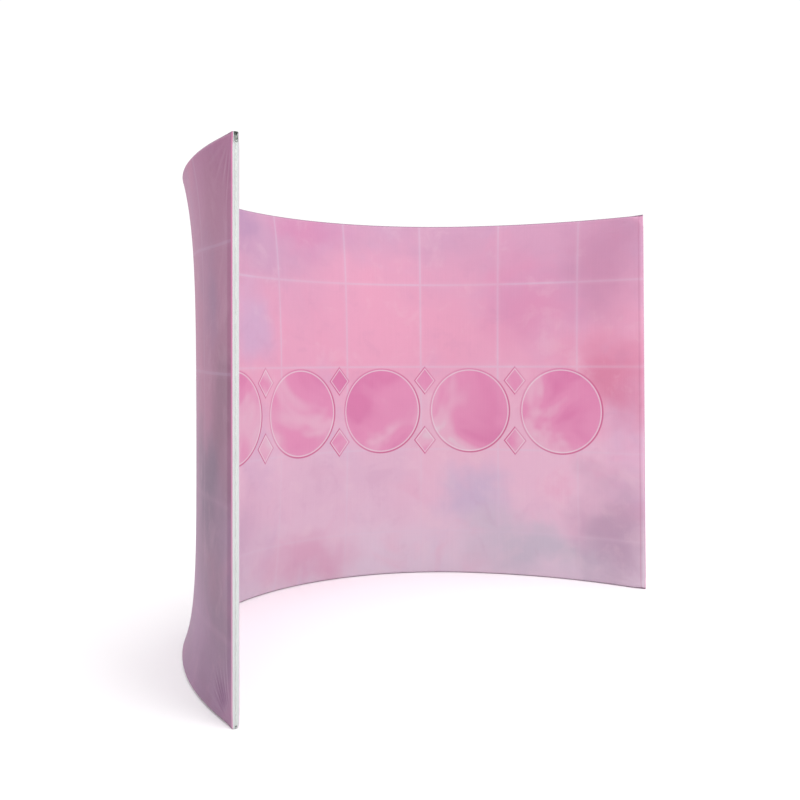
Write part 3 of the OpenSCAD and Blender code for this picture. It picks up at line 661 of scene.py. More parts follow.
def plastic_material(name, colour, dark, rough, scale=300.0, bump=0.25):
    n = Net(name)
    c = n.coords()
    fine = n.noise(c, scale, 3, 0.6)
    slow = n.noise(c, scale / 12, 3)
    col = n.mix(n.step(slow, 0.35, 0.7), lin(*colour), lin(*dark))
    col = n.mix(n.math("MULTIPLY", n.step(fine, 0.58, 0.72), 0.12), col, lin(235, 235, 235))
    n.set(Base_Color=col, Roughness=n.math("MULTIPLY_ADD", fine, 0.16, rough - 0.08), Normal=n.bump(fine, bump, 0.0002))
    n.set(Specular_IOR_Level=0.45)
    return n.mat


M_FRONT = print_material("printed_knit_front", FRONT_WASHES, (220, 160, 194), ((238, 188, 214), (238, 166, 198)), (230, 201, 222), 0.07, (0.68, 0.73, 0.70), GRID_S0, 0.0, None, 3.0)
# the back's tint darkens its print to under half: painted shade of the outer face
M_BACK = print_material("printed_knit_back", BACK_WASHES, (214, 150, 188), ((182, 145, 174), (200, 136, 170)), (190, 160, 188), 0.15, (0.460, 0.364, 0.436), -1.90, 0.033, ((205, 120, 162), (194, 145, 171)), 2.0)
# the rail binding's dark mauve is partly the tape's colour and partly painted shade, the dark line along the top and
# bottom edges
M_BIND = webbing_material("binding_tape", (122, 95, 114), (84, 64, 80), 420.0, "XY")
M_BIND_V = webbing_material("binding_tape_upright", (206, 160, 184), (140, 104, 128), 420.0, "Z")
M_ZIPTAPE = webbing_material("zip_tape_weave", (191, 195, 195), (158, 162, 162), 520.0, "Z", 0.72)
M_THREAD = webbing_material("stitch_thread", (238, 232, 236), (190, 180, 188), 1500.0, "Z", 0.6)
M_THREAD_PINK = webbing_material("stitch_thread_pink", (226, 178, 202), (176, 128, 156), 1500.0, "XY", 0.6)
M_COIL = plastic_material("coil_nylon", (240, 243, 238), (226, 230, 225), 0.38, 500.0, 0.15)
M_SLIDER = metal_material("slider_gunmetal", (66, 70, 66), (40, 44, 42), 0.36, (150, 156, 150), 0.35, 120.0)
M_TAB = metal_material("tab_gunmetal", (98, 104, 98), (66, 72, 68), 0.34, (178, 184, 176), 0.40, 120.0)
M_STOP = metal_material("stop_nickel", (168, 170, 168), (120, 122, 120), 0.34, (220, 222, 220), 0.3, 160.0)
M_TUBE = metal_material("tube_anodised", (196, 198, 202), (170, 172, 178), 0.36, (226, 228, 230), 0.25, 24.0, "Z")
M_BEND = metal_material("bend_anodised", (188, 190, 194), (160, 162, 168), 0.38, (226, 228, 230), 0.25, 24.0, "R")
M_SLEEVE = metal_material("sleeve_mill_finish", (150, 152, 158), (118, 120, 126), 0.44, (206, 208, 210), 0.45, 40.0, "Z")
M_PLUG = plastic_material("plug_nylon", (34, 34, 37), (22, 22, 24), 0.52, 420.0, 0.35)
M_SCREW = metal_material("screw_zinc", (150, 152, 150), (104, 108, 112), 0.32, (214, 214, 200), 0.4, 200.0)
M_SPRING = metal_material("spring_steel", (120, 122, 128), (84, 86, 92), 0.30, (190, 192, 196), 0.35, 160.0)
M_BUTTON = metal_material("button_plated", (176, 178, 182), (140, 142, 148), 0.24, (226, 228, 230), 0.45, 200.0)

# ---------------------------------------------------------------------------
# The cover
# ---------------------------------------------------------------------------


def spaced(a, b, step):
    n = max(1, int(round((b - a) / step)))
    return np.linspace(a, b, n + 1)[:-1]


END = 0.30
mid_cols = np.concatenate([
    spaced(-SP, -SP + 0.17, 0.0043), spaced(-SP + 0.17, -SP + END, 0.0078), spaced(-SP + END, -SU - 0.024, 0.024),
    -SU + np.array([-0.024, -0.012, -0.005, 0.0, 0.005, 0.012]),
    spaced(-SU + 0.024, SU - 0.024, 0.024),
    SU + np.array([-0.024, -0.012, -0.005, 0.0, 0.005, 0.012]),
    spaced(SU + 0.024, SP - END, 0.024), spaced(SP - END, SP, 0.0086), [SP]])
right_cols = SP + RO * np.sin(np.radians([12, 24, 36, 48, 60, 72, 82, 90]))
left_cols = -SP - np.array([EL, 0.0176, 0.0156, 0.0128, 0.0096, 0.0062, 0.003])
rows = np.concatenate([
    ZB - RO * np.sin(np.radians([90, 82, 72, 60, 48, 36, 24, 12])), spaced(ZB, ZB + 0.14, 0.0047), spaced(ZB + 0.14, ZB + 0.25, 0.0085),
    spaced(ZB + 0.25, ZT - 0.25, 0.024), spaced(ZT - 0.25, ZT, 0.0085), [ZT],
    ZT + RO * np.sin(np.radians([12, 24, 36, 48, 60, 72, 82, 90]))])
# The hem at the zip end turns round the edge of the zip tape: reach past the post's axis, share of the half width
HEM = [(0.01968, 0.905), (0.01985, 0.925), (0.01985, 0.955), (0.01965, 0.985), (0.01930, 1.0)]


def cover(name, face, mat, node):
    s = np.concatenate([left_cols, mid_cols, right_cols])
    S, Z = np.meshgrid(s, rows, indexing="ij")
    body = off(S, surface(S, Z, face), Z + ear(S, Z))
    zz = rows
    hem = []
    edge = half(np.full(zz.shape, -SP - EL), zz, face)
    zin = np.clip(zz, 0.0016, 2.2984)
    for t, k in HEM:
        hem.append(zip_point(t, -face * edge * k, zin + ear(-SP - EL, zz)))
    pts = np.concatenate([np.array(hem), body])
    run = np.concatenate([-SP - EL - np.array([0.0026, 0.0021, 0.0016, 0.0011, 0.0006]), s])
    sign = 1 if face > 0 else -1
    n = grid_normals(pts, 1)
    # outward normals: du x dv points out of the back face for both, so flip for the front
    x, y, h = plan(0.0)
    mid = len(run) // 2, len(rows) // 2
    if n[mid][1] * sign < 0:
        n = -n
    inner = pts - CLOTH * n
    verts, faces = thin_solid(pts, inner, False)
    ob = new_object(name, verts, faces, True, mat)
    # make the winding agree with the outward normals
    me = ob.data
    mid_face = (mid[0]) * (len(rows) - 1) + mid[1]
    if me.polygons[mid_face].normal.dot(Vector(n[mid])) < 0:
        me.flip_normals()
    # print map in metres, and a flat map of each skin for baking
    count = pts.shape[0] * pts.shape[1]
    SS = np.repeat(run[:, None], len(rows), 1)
    prof = np.concatenate([[0], np.cumsum(np.hypot(np.diff(surface(0.0, rows, face)), np.diff(rows)))])
    ZZ = np.repeat(rows[None, :], len(run), 0)
    fu = (SS - run[0]) / (run[-1] - run[0])
    fv = np.repeat((prof / prof[-1])[None, :], len(run), 0)
    u_print = np.tile(SS.reshape(-1), 2)
    v_print = np.tile(ZZ.reshape(-1), 2)
    u_bake = np.concatenate([0.004 + 0.992 * fu.reshape(-1)] * 2)
    v_bake = np.concatenate([0.256 + 0.740 * fv.reshape(-1), 0.004 + 0.24 * fv.reshape(-1)])
    loops = np.zeros(len(me.loops), np.int32)
    me.loops.foreach_get("vertex_index", loops)
    for nm, a, b in (("print", u_print, v_print), ("OFBake", u_bake, v_bake)):
        layer = me.uv_layers.new(name=nm)
        layer.uv.foreach_set("vector", np.stack([a[loops], b[loops]], -1).astype(np.float32).ravel())
    me.uv_layers.active = me.uv_layers["print"]
    area = float(sum(p.area for p in me.polygons)) / 2
    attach(ob, "wall")
    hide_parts(node)
    return ob, area


front, front_area = cover("front_cover", -1, M_FRONT, "front_fabric_panel")
back, back_area = cover("back_cover", 1, M_BACK, "back_fabric_panel")
print("cover faces", len(front.data.polygons), len(back.data.polygons), "areas", round(front_area, 3), round(back_area, 3))

# ---------------------------------------------------------------------------
# Binding tapes and their stitches
# ---------------------------------------------------------------------------


def rail_binding(name, node, top):
    """Woven tape laid over the seam along a rail, bent down over the cloth on both sides."""
    z0 = ZT + RO if top else ZB - RO
    sgn = 1 if top else -1
    s = np.concatenate([
        spaced(-SP - 0.0158, -SP + 0.10, 0.006), spaced(-SP + 0.10, SP - 0.10, 0.030),
        spaced(SP - 0.10, SP + 0.0166, 0.006), [SP + 0.0166]])
    widths = np.array([-0.009, -0.0075, -0.005, -0.0025, 0.0, 0.0025, 0.005, 0.0075, 0.009])
    depth = np.linspace(0, 0.016, 60)
    upper, lower = [], []
    for si in s:
        zz = z0 - sgn * depth
        zc = np.concatenate([[z0], zz])
        sides = []
        for fc in (-1, 1):
            h = half(si, zz, fc)
            d = np.concatenate([[0.0], h])
            sides.append((d, np.concatenate([[0], np.cumsum(np.hypot(np.diff(d), np.diff(zc)))]), max(1.0, (float(h[0]) + 0.0022) / 0.009)))
        row_u, row_l = [], []
        for w in widths:
            d, arc, spread = sides[0 if w < 0 else 1]
            a = abs(w) * spread
            dd, hz = float(np.interp(a, arc, d)), float(np.interp(a, arc, zc))
            # direction of the tape there, for the thickness
            d2, z2 = float(np.interp(a + 0.0006, arc, d)), float(np.interp(a + 0.0006, arc, zc))
            tx, tz = d2 - dd, z2 - hz
            ln = math.hypot(tx, tz) or 1.0
            nx, nz = abs(tz) / ln, sgn * abs(tx) / ln
            sg = 1 if w > 0 else -1
            if w == 0:
                nx, nz = 0.0, sgn
            face = -1 if sg < 0 else 1
            inward = 0.0
            row_l.append((sg * dd + sg * nx * 0.00012 - inward, hz + nz * 0.00012))
            row_u.append((sg * dd + sg * nx * 0.00085 - inward, hz + nz * 0.00085))
        upper.append(row_u)
        lower.append(row_l)
    U, L = np.array(upper), np.array(lower)
    lim = 2.3 if top else 0.0
    clampz = (lambda z: np.minimum(z, lim)) if top else (lambda z: np.maximum(z, lim))
    SS = np.repeat(s[:, None], len(widths), 1)
    outer = off(SS, U[..., 0], clampz(U[..., 1]) + ear(SS, U[..., 1]))
    inner = off(SS, L[..., 0], L[..., 1] + ear(SS, L[..., 1]))
    verts, faces = thin_solid(outer, inner, False)
    ob = new_object(name, verts, faces, True, M_BIND)
    fix_winding(ob, len(s) // 2 * (len(widths) - 1) + 4, (0, 0, sgn))
    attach(ob, "wall")
    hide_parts(node)
    sharpen(ob, 50)
    return s, U


def fix_winding(ob, face_index, way):
    if ob.data.polygons[face_index].normal.dot(Vector(way)) < 0:
        ob.data.flip_normals()


def stitches(name, centres, tangents, normals, length, radius, mat):
    """Separate lockstitches: short rounded threads that dip into the cloth at both ends."""
    centres, tangents, normals = (np.asarray(a, float).reshape(-1, 3) for a in (centres, tangents, normals))
    tangents /= np.linalg.norm(tangents, axis=1, keepdims=True)
    side = np.cross(tangents, normals)
    side /= np.linalg.norm(side, axis=1, keepdims=True)
    up = np.cross(side, tangents)
    rings = [(-0.50, 0.35, -0.25), (-0.26, 0.95, 0.42), (0.26, 0.95, 0.42), (0.50, 0.35, -0.25)]
    k = 5
    verts = []
    for f, rr, lift in rings:
        for j in range(k):
            a = 2 * math.pi * j / k
            verts.append(centres + tangents * (f * length) + up * (lift * radius + math.cos(a) * rr * radius) + side * (math.sin(a) * rr * radius))
    V = np.stack(verts, 1).reshape(-1, 3)
    per = len(rings) * k
    one = []
    for r in range(len(rings) - 1):
        for j in range(k):
            j2 = (j + 1) % k
            one.append((r * k + j, r * k + j2, (r + 1) * k + j2, (r + 1) * k + j))
    one.append(tuple(range(k))[::-1])
    one.append(tuple((len(rings) - 1) * k + j for j in range(k)))
    faces = []
    for i in range(len(centres)):
        base = i * per
        faces.extend([tuple(base + q for q in f) for f in one])
    ob = new_object(name, V, faces, True, mat)
    import bmesh
    bm = bmesh.new()
    bm.from_mesh(ob.data)
    bmesh.ops.recalc_face_normals(bm, faces=bm.faces)
    bm.to_mesh(ob.data)
    bm.free()
    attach(ob, "wall")
    return ob


def rail_stitches(name, s_grid, U, top, pitch):
    """Two rows of stitching along a rail's binding tape."""
    sgn = 1 if top else -1
    runs = np.arange(-SP - 0.010, SP + 0.012, pitch)
    cs, ts, ns = [], [], []
    for row in (1, 7):
        d = np.interp(runs, s_grid, U[:, row, 0])
        z = np.interp(runs, s_grid, U[:, row, 1])
        d_in = np.interp(runs, s_grid, U[:, row - 1 if row > 4 else row + 1, 0])
        z_in = np.interp(runs, s_grid, U[:, row - 1 if row > 4 else row + 1, 1])
        p = off(runs, d, z)
        p2 = off(runs + 0.001, d, z)
        q = off(runs, d_in, z_in)
        t = p2 - p
        across = q - p
        nn = np.cross(t, across)
        nn *= np.sign(nn[:, 2:3] * sgn + 1e-12)
        nn /= np.linalg.norm(nn, axis=1, keepdims=True)
        cs.append(p - nn * 0.00005)
        ts.append(t)
        ns.append(nn)
    p = np.concatenate(cs)
    if top:
        p[:, 2] = np.minimum(p[:, 2], 2.2998) + ear(np.concatenate([runs, runs]), p[:, 2])
    else:
        p[:, 2] = np.maximum(p[:, 2], 0.0004)
    return stitches(name, p, np.concatenate(ts), np.concatenate(ns), pitch * 0.80, 0.00034, M_THREAD_PINK)


s_top, u_top = rail_binding("top_seam_binding", "top_seam_tape", True)
s_bot, u_bot = rail_binding("bottom_seam_binding", "bottom_seam_tape", False)
rail_stitches("top_seam_stitches", s_top, u_top, True, 0.0042)
rail_stitches("bottom_seam_stitches", s_bot, u_bot, False, 0.0060)


def right_binding():
    z = np.concatenate([spaced(0.002, 0.10, 0.006), spaced(0.10, 2.20, 0.03), spaced(2.20, 2.298, 0.006), [2.298]])
    widths = np.array([-0.005, -0.004, -0.002, 0.0, 0.002, 0.004, 0.005])
    depth = np.linspace(0, 0.010, 40)
    O, I = [], []
    for zi in z:
        ss = SP + RO - depth
        h = half(ss, np.full(ss.shape, zi))
        d = np.concatenate([[0.0], h])
        sc = np.concatenate([[SP + RO], ss])
        arc = np.concatenate([[0], np.cumsum(np.hypot(np.diff(d), np.diff(sc)))])
        o, i_ = [], []
        for w in widths:
            a = abs(w)
            dd, sv = float(np.interp(a, arc, d)), float(np.interp(a, arc, sc))
            d2, s2 = float(np.interp(a + 0.0006, arc, d)), float(np.interp(a + 0.0006, arc, sc))
            ln = math.hypot(d2 - dd, s2 - sv) or 1.0
            nd, ns = abs(s2 - sv) / ln, abs(d2 - dd) / ln
            sg = 1 if w > 0 else -1
            if w == 0:
                nd, ns = 0.0, 1.0
            o.append((sv + ns * 0.00085, sg * (dd + nd * 0.00085) if w else 0.0))
            i_.append((sv + ns * 0.00012, sg * (dd + nd * 0.00012) if w else 0.0))
        O.append(o)
        I.append(i_)
    O, I = np.array(O), np.array(I)
    ZZ = np.repeat(z[:, None], len(widths), 1)
    outer = off(O[..., 0], O[..., 1], ZZ + ear(O[..., 0], ZZ))
    inner = off(I[..., 0], I[..., 1], ZZ + ear(I[..., 0], ZZ))
    verts, faces = thin_solid(outer, inner, False)
    ob = new_object("right_seam_binding", verts, faces, True, M_BIND_V)
    fix_winding(ob, len(z) // 2 * (len(widths) - 1) + 2, (math.cos(AE), -math.sin(AE), 0))
    sharpen(ob, 50)
    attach(ob, "wall")
    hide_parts("right_seam_tape")
    zz = np.arange(0.006, 2.295, 0.0042)
    cs, ns = [], []
    for col in (1, 5):
        sv, dv = np.interp(zz, z, O[:, col, 0]), np.interp(zz, z, O[:, col, 1])
        cs.append(off(sv, dv, zz + ear(sv, zz)))
        x, y, h = plan(sv)
        out = np.stack([np.cos(h), -np.sin(h), 0 * h], -1)
        lat = np.stack([np.sin(h), np.cos(h), 0 * h], -1) * (1 if col > 3 else -1)
        ns.append(out * 0.97 + lat * 0.24)
    p = np.concatenate(cs)
    stitches("right_seam_stitches", p, np.tile([0, 0, 1.0], (len(p), 1)), np.concatenate(ns), 0.0034, 0.00034, M_THREAD_PINK)


right_binding()

# ---------------------------------------------------------------------------
# The zip
# ---------------------------------------------------------------------------

TAPE_T, TAPE_O = 0.0190, 0.0196


def edge_at(z, face):
    return half(np.full(np.shape(z), -SP - EL), z, face)


def zip_tape(name, side, node):
    """Woven half of the zip: a flat tape with a corded edge by the coil, narrowing into the corners."""
    z = np.concatenate([spaced(0.002, 0.12, 0.004), spaced(0.12, 2.18, 0.02), spaced(2.18, 2.298, 0.004), [2.298]])
    w = np.array([0.00005, 0.0010, 0.0020, 0.0030, 0.0035, 0.0041, 0.0048, 0.0060, 0.0080, 0.0100, 0.0120, 0.0138, 0.0148])
    lift = np.array([0.0, 0.00012, 0.00012, 0.0001, 0.00022, 0.00022, 0.00004, 0.0, 0.00003, 0.0, 0.00003, 0.0, -0.00005])
    b = np.minimum(edge_at(z, -side), 0.0149)
    q = np.where(w[None, :] <= 0.0035, w[None, :], 0.0035 + (w[None, :] - 0.0035) * (b[:, None] - 0.0037) / (0.0148 - 0.0035))
    Z = np.repeat(z[:, None], len(w), 1)
    T = TAPE_O + lift[None, :] + 0 * Z
    Z = Z + ear(-SP - EL, Z)
    outer, inner = zip_point(T, side * q, Z), zip_point(T - 0.0006 - 0.5 * lift[None, :], side * q, Z)
    verts, faces = thin_solid(outer, inner, False)
    ob = new_object(name, verts, faces, True, M_ZIPTAPE)
    fix_winding(ob, len(z) // 2 * (len(w) - 1) + 8, tuple(ZIP_OUT))
    sharpen(ob, 55)
    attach(ob, "wall")
    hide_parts(node)
    # topstitching through the hem, and the chain stitch that holds the coil
    zz = np.arange(0.010, 2.291, 0.0034)
    bb = edge_at(zz, -side)
    rows_ = [(bb * 0.855, TAPE_O + 0.00012), (np.full(zz.shape, 0.00445), TAPE_O + 0.00030)]
    cs = [zip_point(t, side * qq, zz) for qq, t in rows_]
    p = np.concatenate(cs)
    stitches(name + "_stitches", p, np.tile([0, 0, 1.0], (len(p), 1)), np.tile(ZIP_OUT, (len(p), 1)), 0.0028, 0.00030, M_THREAD)
    return ob


zip_tape("front_zip_tape_woven", 1, "front_zip_tape")
zip_tape("back_zip_tape_woven", -1, "back_zip_tape")


def zip_coil(name, side, node, shift):
    """One half of the coil: a row of bent nylon loops, each a swept square bar."""
    pitch = 0.0021
    zs = np.arange(0.0128 + shift, 2.2915, pitch)
    # loop in (t, q), mm past the post's axis and off the closing line
    path = np.array([[19.75, 2.75], [20.6, 3.05], [21.55, 2.45], [21.75, 1.45], [21.3, 0.80], [20.55, 0.78], [20.0, 1.35]]) / 1000
    r = 0.00036
    n = len(path)
    tang = np.gradient(path, axis=0)
    tang /= np.linalg.norm(tang, axis=1, keepdims=True)
    norm = np.stack([-tang[:, 1], tang[:, 0]], -1)
    width = np.array([0.8, 1.0, 1.0, 1.0, 1.35, 1.35, 0.9]) * r
    ring = [(-1, -1), (1, -1), (1, 1), (-1, 1)]
    base_t, base_q, base_z = [], [], []
    for i in range(n):
        for a, c in ring:
            base_t.append(path[i, 0] + norm[i, 0] * a * width[i])
            base_q.append(path[i, 1] + norm[i, 1] * a * width[i])
            base_z.append(c * (0.00040 if i not in (4, 5) else 0.00052))
    bt, bq, bz = map(np.array, (base_t, base_q, base_z))
    lean = 0.0004 * (bt - 0.0207) / 0.001
    pts = zip_point(bt[None, :] + 0 * zs[:, None], side * bq[None, :] + 0 * zs[:, None], zs[:, None] + bz[None, :] + lean[None, :])
    per = len(bt)
    one = []
    for i in range(n - 1):
        for j in range(4):
            j2 = (j + 1) % 4
            one.append((i * 4 + j, i * 4 + j2, (i + 1) * 4 + j2, (i + 1) * 4 + j))
    one.append((3, 2, 1, 0))
    one.append(tuple((n - 1) * 4 + j for j in range(4)))
    idx = np.array([f for f in one])
    faces = (idx[None, :, :] + (np.arange(len(zs)) * per)[:, None, None]).reshape(-1, 4)
    if side < 0:
        faces = faces[:, ::-1]
    ob = new_object(name, pts.reshape(-1, 3), faces, True, M_COIL)
    # outward check on the first loop
    me = ob.data
    c = np.array([v.co for v in me.vertices[: per]]).mean(0)
    tot = sum((Vector(p.center) - Vector(c)).dot(p.normal) * p.area for p in me.polygons[: len(one)])
    if tot < 0:
        me.flip_normals()
    sharpen(ob, 60)
    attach(ob, "wall")
    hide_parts(node)
    return ob


zip_coil("front_zip_coil_loops", 1, "front_zip_coil", 0.0)
zip_coil("back_zip_coil_loops", -1, "back_zip_coil", 0.00105)

# --- slider, tab and stops, in millimetres in the zip-end frame ------------------


def mm(points):
    p = np.asarray(points, float) / 1000
    return zip_point(p[..., 0], p[..., 1], p[..., 2])


def prism(outline, t0, t1):
    """Outline in (q, z), extruded along t. Millimetres."""
    k = len(outline)
    a = [(t0, q, z) for q, z in outline] + [(t1, q, z) for q, z in outline]
    faces = [tuple(range(k))[::-1], tuple(range(k, 2 * k))]
    faces += [(i, (i + 1) % k, k + (i + 1) % k, k + i) for i in range(k)]
    return mm(a), faces


def prism_q(outline, q0, q1):
    """Outline in (t, z), extruded along q. Millimetres."""
    k = len(outline)
    a = [(t, q0, z) for t, z in outline] + [(t, q1, z) for t, z in outline]
    faces = [tuple(range(k)), tuple(range(k, 2 * k))[::-1]]
    faces += [((i + 1) % k, i, k + i, k + (i + 1) % k) for i in range(k)]
    return mm(a), faces


def round_outline(points, radii, n=5):
    """Polygon with rounded corners."""
    out = []
    k = len(points)
    for i, (p, r) in enumerate(zip(points, radii)):
        p = np.array(p, float)
        a, b = np.array(points[i - 1], float) - p, np.array(points[(i + 1) % k], float) - p
        la, lb = np.linalg.norm(a), np.linalg.norm(b)
        a, b = a / la, b / lb
        half_angle = math.acos(max(-1, min(1, float(a @ b)))) / 2
        if r <= 0 or half_angle > 1.5:
            out.append(tuple(p))
            continue
        cut = min(r / math.tan(half_angle), 0.48 * la, 0.48 * lb)
        r2 = cut * math.tan(half_angle)
        centre = p + (a + b) / np.linalg.norm(a + b) * (r2 / math.sin(half_angle))
        p0, p1 = p + a * cut - centre, p + b * cut - centre
        ang0, ang1 = math.atan2(p0[1], p0[0]), math.atan2(p1[1], p1[0])
        d = (ang1 - ang0 + math.pi) % (2 * math.pi) - math.pi
        for j in range(n + 1):
            t = ang0 + d * j / n
            out.append((centre[0] + r2 * math.cos(t), centre[1] + r2 * math.sin(t)))
    return out


def solid_part(name, parts, mat, width=0.0003, segments=2):
    ob = join_meshes(name, parts, mat, False)
    import bmesh
    bm = bmesh.new()
    bm.from_mesh(ob.data)
    bmesh.ops.recalc_face_normals(bm, faces=bm.faces)
    bm.to_mesh(ob.data)
    bm.free()
    return bevel(ob, width, segments)


Z_LOW, Z_TOP, Z_PIV = 2278.0, 2296.0, 2289.5


def plate(w0, w1, grow=0.0):
    return round_outline(
        [(-w1, Z_LOW), (w1, Z_LOW), (w1, Z_LOW + 5), (w0, Z_TOP - 6), (w0, Z_TOP - 1.0), (w0 - 2.2, Z_TOP),
         (0.9, Z_TOP), (0, Z_TOP - 1.6), (-0.9, Z_TOP),
         (-w0 + 2.2, Z_TOP), (-w0, Z_TOP - 1.0), (-w0, Z_TOP - 6), (-w1, Z_LOW + 5)],
        [1.2, 1.2, 3, 3, 1.2, 1.2, 0.3, 0.3, 0.3, 1.2, 1.2, 3, 3], 4)


slider_parts = [
    prism(plate(8, 5.6), 22.1, 23.5),
    prism(plate(7, 5.2), 17.2, 18.6),
    prism(round_outline([(-6.2, Z_LOW + 1.6), (6.2, Z_LOW + 1.6)][:0] + [(-4.0, Z_LOW + 1.4), (4.0, Z_LOW + 1.4), (5.2, Z_TOP - 6.5), (4.4, Z_TOP - 2.0), (-4.4, Z_TOP - 2.0), (-5.2, Z_TOP - 6.5)], [1.2] * 6, 3), 23.4, 23.9),
]
for m in (-1, 1):
    lip = [(m * 3.5, Z_LOW), (m * 5.3, Z_LOW), (m * 5.3, Z_LOW + 12), (m * 3.9, Z_LOW + 12)]
    slider_parts.append(prism(round_outline(lip, [0.3, 0.8, 0.8, 0.3], 3), 19.95, 22.2))
wedge = [(-0.4, Z_TOP - 6), (0.4, Z_TOP - 6), (0.4, Z_TOP - 1.5), (-0.4, Z_TOP - 1.5)]
slider_parts.append(prism(wedge, 18.5, 22.2))
# the bridge: an arch that the tab's pin turns in
arch = [(23.6, Z_PIV - 4.2), (25.4, Z_PIV - 4.2), (27.4, Z_PIV - 1.6), (27.4, Z_PIV + 1.6), (25.4, Z_PIV + 4.2), (23.6, Z_PIV + 4.2)]
arch = round_outline(arch, [0.2, 1.6, 1.6, 1.6, 1.6, 0.2], 4)
hole = [(25.8 + 1.0 * math.cos(a), Z_PIV + 1.0 * math.sin(a)) for a in np.linspace(0, 2 * math.pi, 16, endpoint=False)]


def bored(outline, inner, q0, q1):
    """A plate in the (t, z) plane with one hole, as a ring of quads and end faces stitched to the hole."""
    # match every hole point with the outline's nearest direction
    c = np.array(inner).mean(0)
    out = []
    k = len(inner)
    poly = np.array(outline)
    for p in inner:
        d = np.array(p) - c
        d /= np.linalg.norm(d)
        best = None
        for i in range(len(poly)):
            a, b = poly[i], poly[(i + 1) % len(poly)]
            m_ = np.array([d, a - b]).T
            if abs(np.linalg.det(m_)) < 1e-12:
                continue
            t, u = np.linalg.solve(m_, a - c)
            if t > 0 and -1e-9 <= u <= 1 + 1e-9 and (best is None or t < best):
                best = t
        out.append(tuple(c + d * best))
    rings = [(out, q0), (out, q1), (inner, q1), (inner, q0)]
    pts = [(t, q, z) for ring_, q in rings for t, z in ring_]
    faces = []
    for r in range(4):
        for j in range(k):
            j2 = (j + 1) % k
            faces.append((r * k + j, r * k + j2, ((r + 1) % 4) * k + j2, ((r + 1) % 4) * k + j))
    return mm(pts), faces


slider_parts.append(bored(arch, hole, -2.2, 2.2))
slider = solid_part("zip_slider_body", slider_parts, M_SLIDER, 0.00025, 2)
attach(slider, "slider")
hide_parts("zip_slider")

# pull tab: flat blade with a ring at its end, an eye for the bridge and a pin
TAB_END = 36 - 6.5


def tab_parts():
    zc = Z_PIV - TAB_END
    k = 32
    ang = np.linspace(math.pi / 2, math.pi / 2 + 2 * math.pi, k, endpoint=False)
    outer = []
    for a in ang:
        outer.append((6.5 * math.cos(a), zc + 6.5 * math.sin(a)))
    inner = [(4.2 * math.cos(a), zc + 4.2 * math.sin(a)) for a in ang]
    rings = [(outer, 25.0), (outer, 26.6), (inner, 26.6), (inner, 25.0)]
    pts = [(t, q, z) for ring_, t in rings for q, z in ring_]
    faces = []
    for r in range(4):
        for j in range(k):
            j2 = (j + 1) % k
            faces.append((r * k + j, r * k + j2, ((r + 1) % 4) * k + j2, ((r + 1) % 4) * k + j))
    eye = (mm(pts), faces)
    blade = round_outline(
        [(-5.9, zc + 5.0), (5.9, zc + 5.0), (6.3, Z_PIV - 14), (4.6, Z_PIV - 7.6), (-4.6, Z_PIV - 7.6), (-6.3, Z_PIV - 14)],
        [0.2, 0.2, 3, 1.6, 1.6, 3], 4)
    panel = round_outline([(-3.4, zc + 7.2), (3.4, zc + 7.2), (3.8, Z_PIV - 13), (2.8, Z_PIV - 9.6), (-2.8, Z_PIV - 9.6), (-3.8, Z_PIV - 13)], [0.8, 0.8, 1.5, 1, 1, 1.5], 4)
    parts = [eye, prism(blade, 25.0, 26.6), prism(panel, 24.8, 26.8)]
    for m_ in (-1, 1):
        arm = round_outline([(m_ * 2.55, Z_PIV - 8.2), (m_ * 4.5, Z_PIV - 8.2), (m_ * 4.2, Z_PIV + 1.5), (m_ * 2.55, Z_PIV + 1.5)], [0.2, 0.8, 1.1, 0.5], 4)
        parts.append(prism(arm, 25.0, 26.6))
    # pin along q
    a16 = np.linspace(0, 2 * math.pi, 16, endpoint=False)
    pin = [(25.8 + 0.9 * math.cos(a), Z_PIV + 0.9 * math.sin(a)) for a in a16]
    parts.append(prism_q(pin, -3.2, 3.2))
    return parts


tab = solid_part("zip_pull_tab_cast", tab_parts(), M_TAB, 0.00028, 2)
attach(tab, "pull_tab")
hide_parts("zip_pull_tab")

# stops: folded metal clamped over the ends of the chain
stop_parts = []
for m in (-1, 1):
    stop_parts.append(prism(round_outline([(m * 0.6, 2292.6), (m * 4.0, 2292.6), (m * 4.0, 2296.2), (m * 0.6, 2296.2)], [0.5] * 4, 3), 19.6, 22.0))
    stop_parts.append(prism(round_outline([(m * 1.2, 2293.9), (m * 3.4, 2293.9), (m * 3.4, 2294.9), (m * 1.2, 2294.9)], [0.3] * 4, 2), 21.9, 22.05))
stop_parts.append(prism(round_outline([(-4, 6), (4, 6), (4, 12), (-4, 12)], [0.8] * 4, 3), 19.6, 22.0))
for zc in (7.8, 10.2):
    stop_parts.append(prism(round_outline([(-3, zc - 0.4), (3, zc - 0.4), (3, zc + 0.4), (-3, zc + 0.4)], [0.25] * 4, 2), 21.9, 22.15))
stops = solid_part("zip_stops_clamped", stop_parts, M_STOP, 0.0002, 2)
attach(stops, "wall")
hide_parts("zip_end_stops")

# ---------------------------------------------------------------------------
# Finishes of the frame's own parts
# ---------------------------------------------------------------------------


def finish_nodes(names, mat):
    for n in names:
        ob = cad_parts[n]
        ob.data.materials.clear()
        ob.data.materials.append(mat)


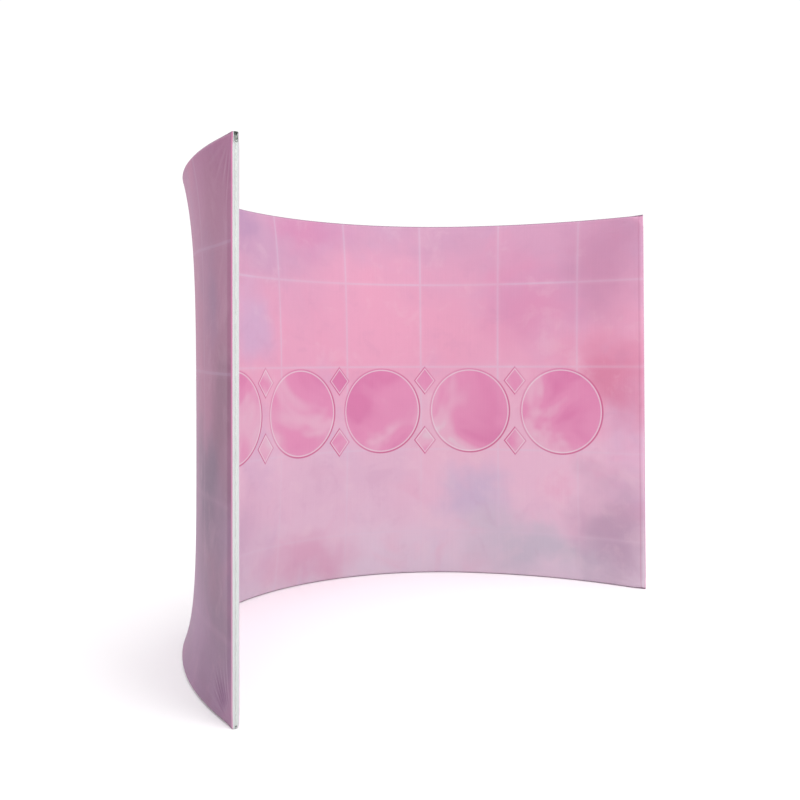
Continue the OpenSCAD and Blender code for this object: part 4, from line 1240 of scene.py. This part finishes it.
all_nodes = list(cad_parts)
finish_nodes([n for n in all_nodes if n.endswith("_rail") and not n.startswith("snap_button")], M_BEND)
finish_nodes([n for n in all_nodes if n.endswith("_corner_bend")], M_BEND)
finish_nodes([n for n in all_nodes if n.endswith("_tube")], M_TUBE)
finish_nodes(["rail_sleeves", "corner_sleeves", "post_sleeves"], M_SLEEVE)
finish_nodes(["upright_saddle_plugs"], M_PLUG)
finish_nodes(["saddle_screws", "saddle_nuts"], M_SCREW)
finish_nodes(["snap_button_springs"], M_SPRING)
finish_nodes([n for n in all_nodes if n.startswith("snap_button_") and n != "snap_button_springs"], M_BUTTON)

# ---------------------------------------------------------------------------
# Floor and light
# ---------------------------------------------------------------------------


def floor():
    n = Net("pale_floor")
    c = n.coords()
    f = n.noise(c, 1.2, 3)
    col = n.mix(f, lin(251, 251, 251), lin(253, 253, 253))
    n.set(Base_Color=col, Roughness=0.9, Specular_IOR_Level=0.1)
    k, w = 24, 60.0
    g = np.linspace(-w, w, k)
    X, Y = np.meshgrid(g, g, indexing="ij")
    ob = new_object("floor", np.stack([X, Y, 0 * X - 0.0005], -1).reshape(-1, 3), grid_faces(k, k), False, n.mat)
    if ob.data.polygons[0].normal.z < 0:
        ob.data.flip_normals()


floor()

world = bpy.data.worlds.new("studio")
bpy.context.scene.world = world
world.use_nodes = True
bg = world.node_tree.nodes["Background"]
bg.inputs[0].default_value = (1, 1, 1, 1)
bg.inputs[1].default_value = 1.05


def area_light(name, at, towards, size, watts, colour=(1, 1, 1)):
    d = bpy.data.lights.new(name, "AREA")
    d.shape, d.size, d.size_y, d.energy, d.color = "RECTANGLE", size[0], size[1], watts, colour
    ob = bpy.data.objects.new(name, d)
    ob.location = at
    ob.rotation_mode = "QUATERNION"
    ob.rotation_quaternion = (Vector(towards) - Vector(at)).to_track_quat("-Z", "Y")
    bpy.context.scene.collection.objects.link(ob)
    return ob


area_light("key", (-0.3, -6.2, 3.4), (0.5, 0.3, 1.0), (3.5, 3.0), 140)
area_light("overhead", (-0.3, 0.2, 6.5), (-0.3, 0.2, 0.0), (6.0, 6.0), 150)

sc = bpy.context.scene
sc.view_settings.view_transform = "Standard"
sc.view_settings.look = "None"
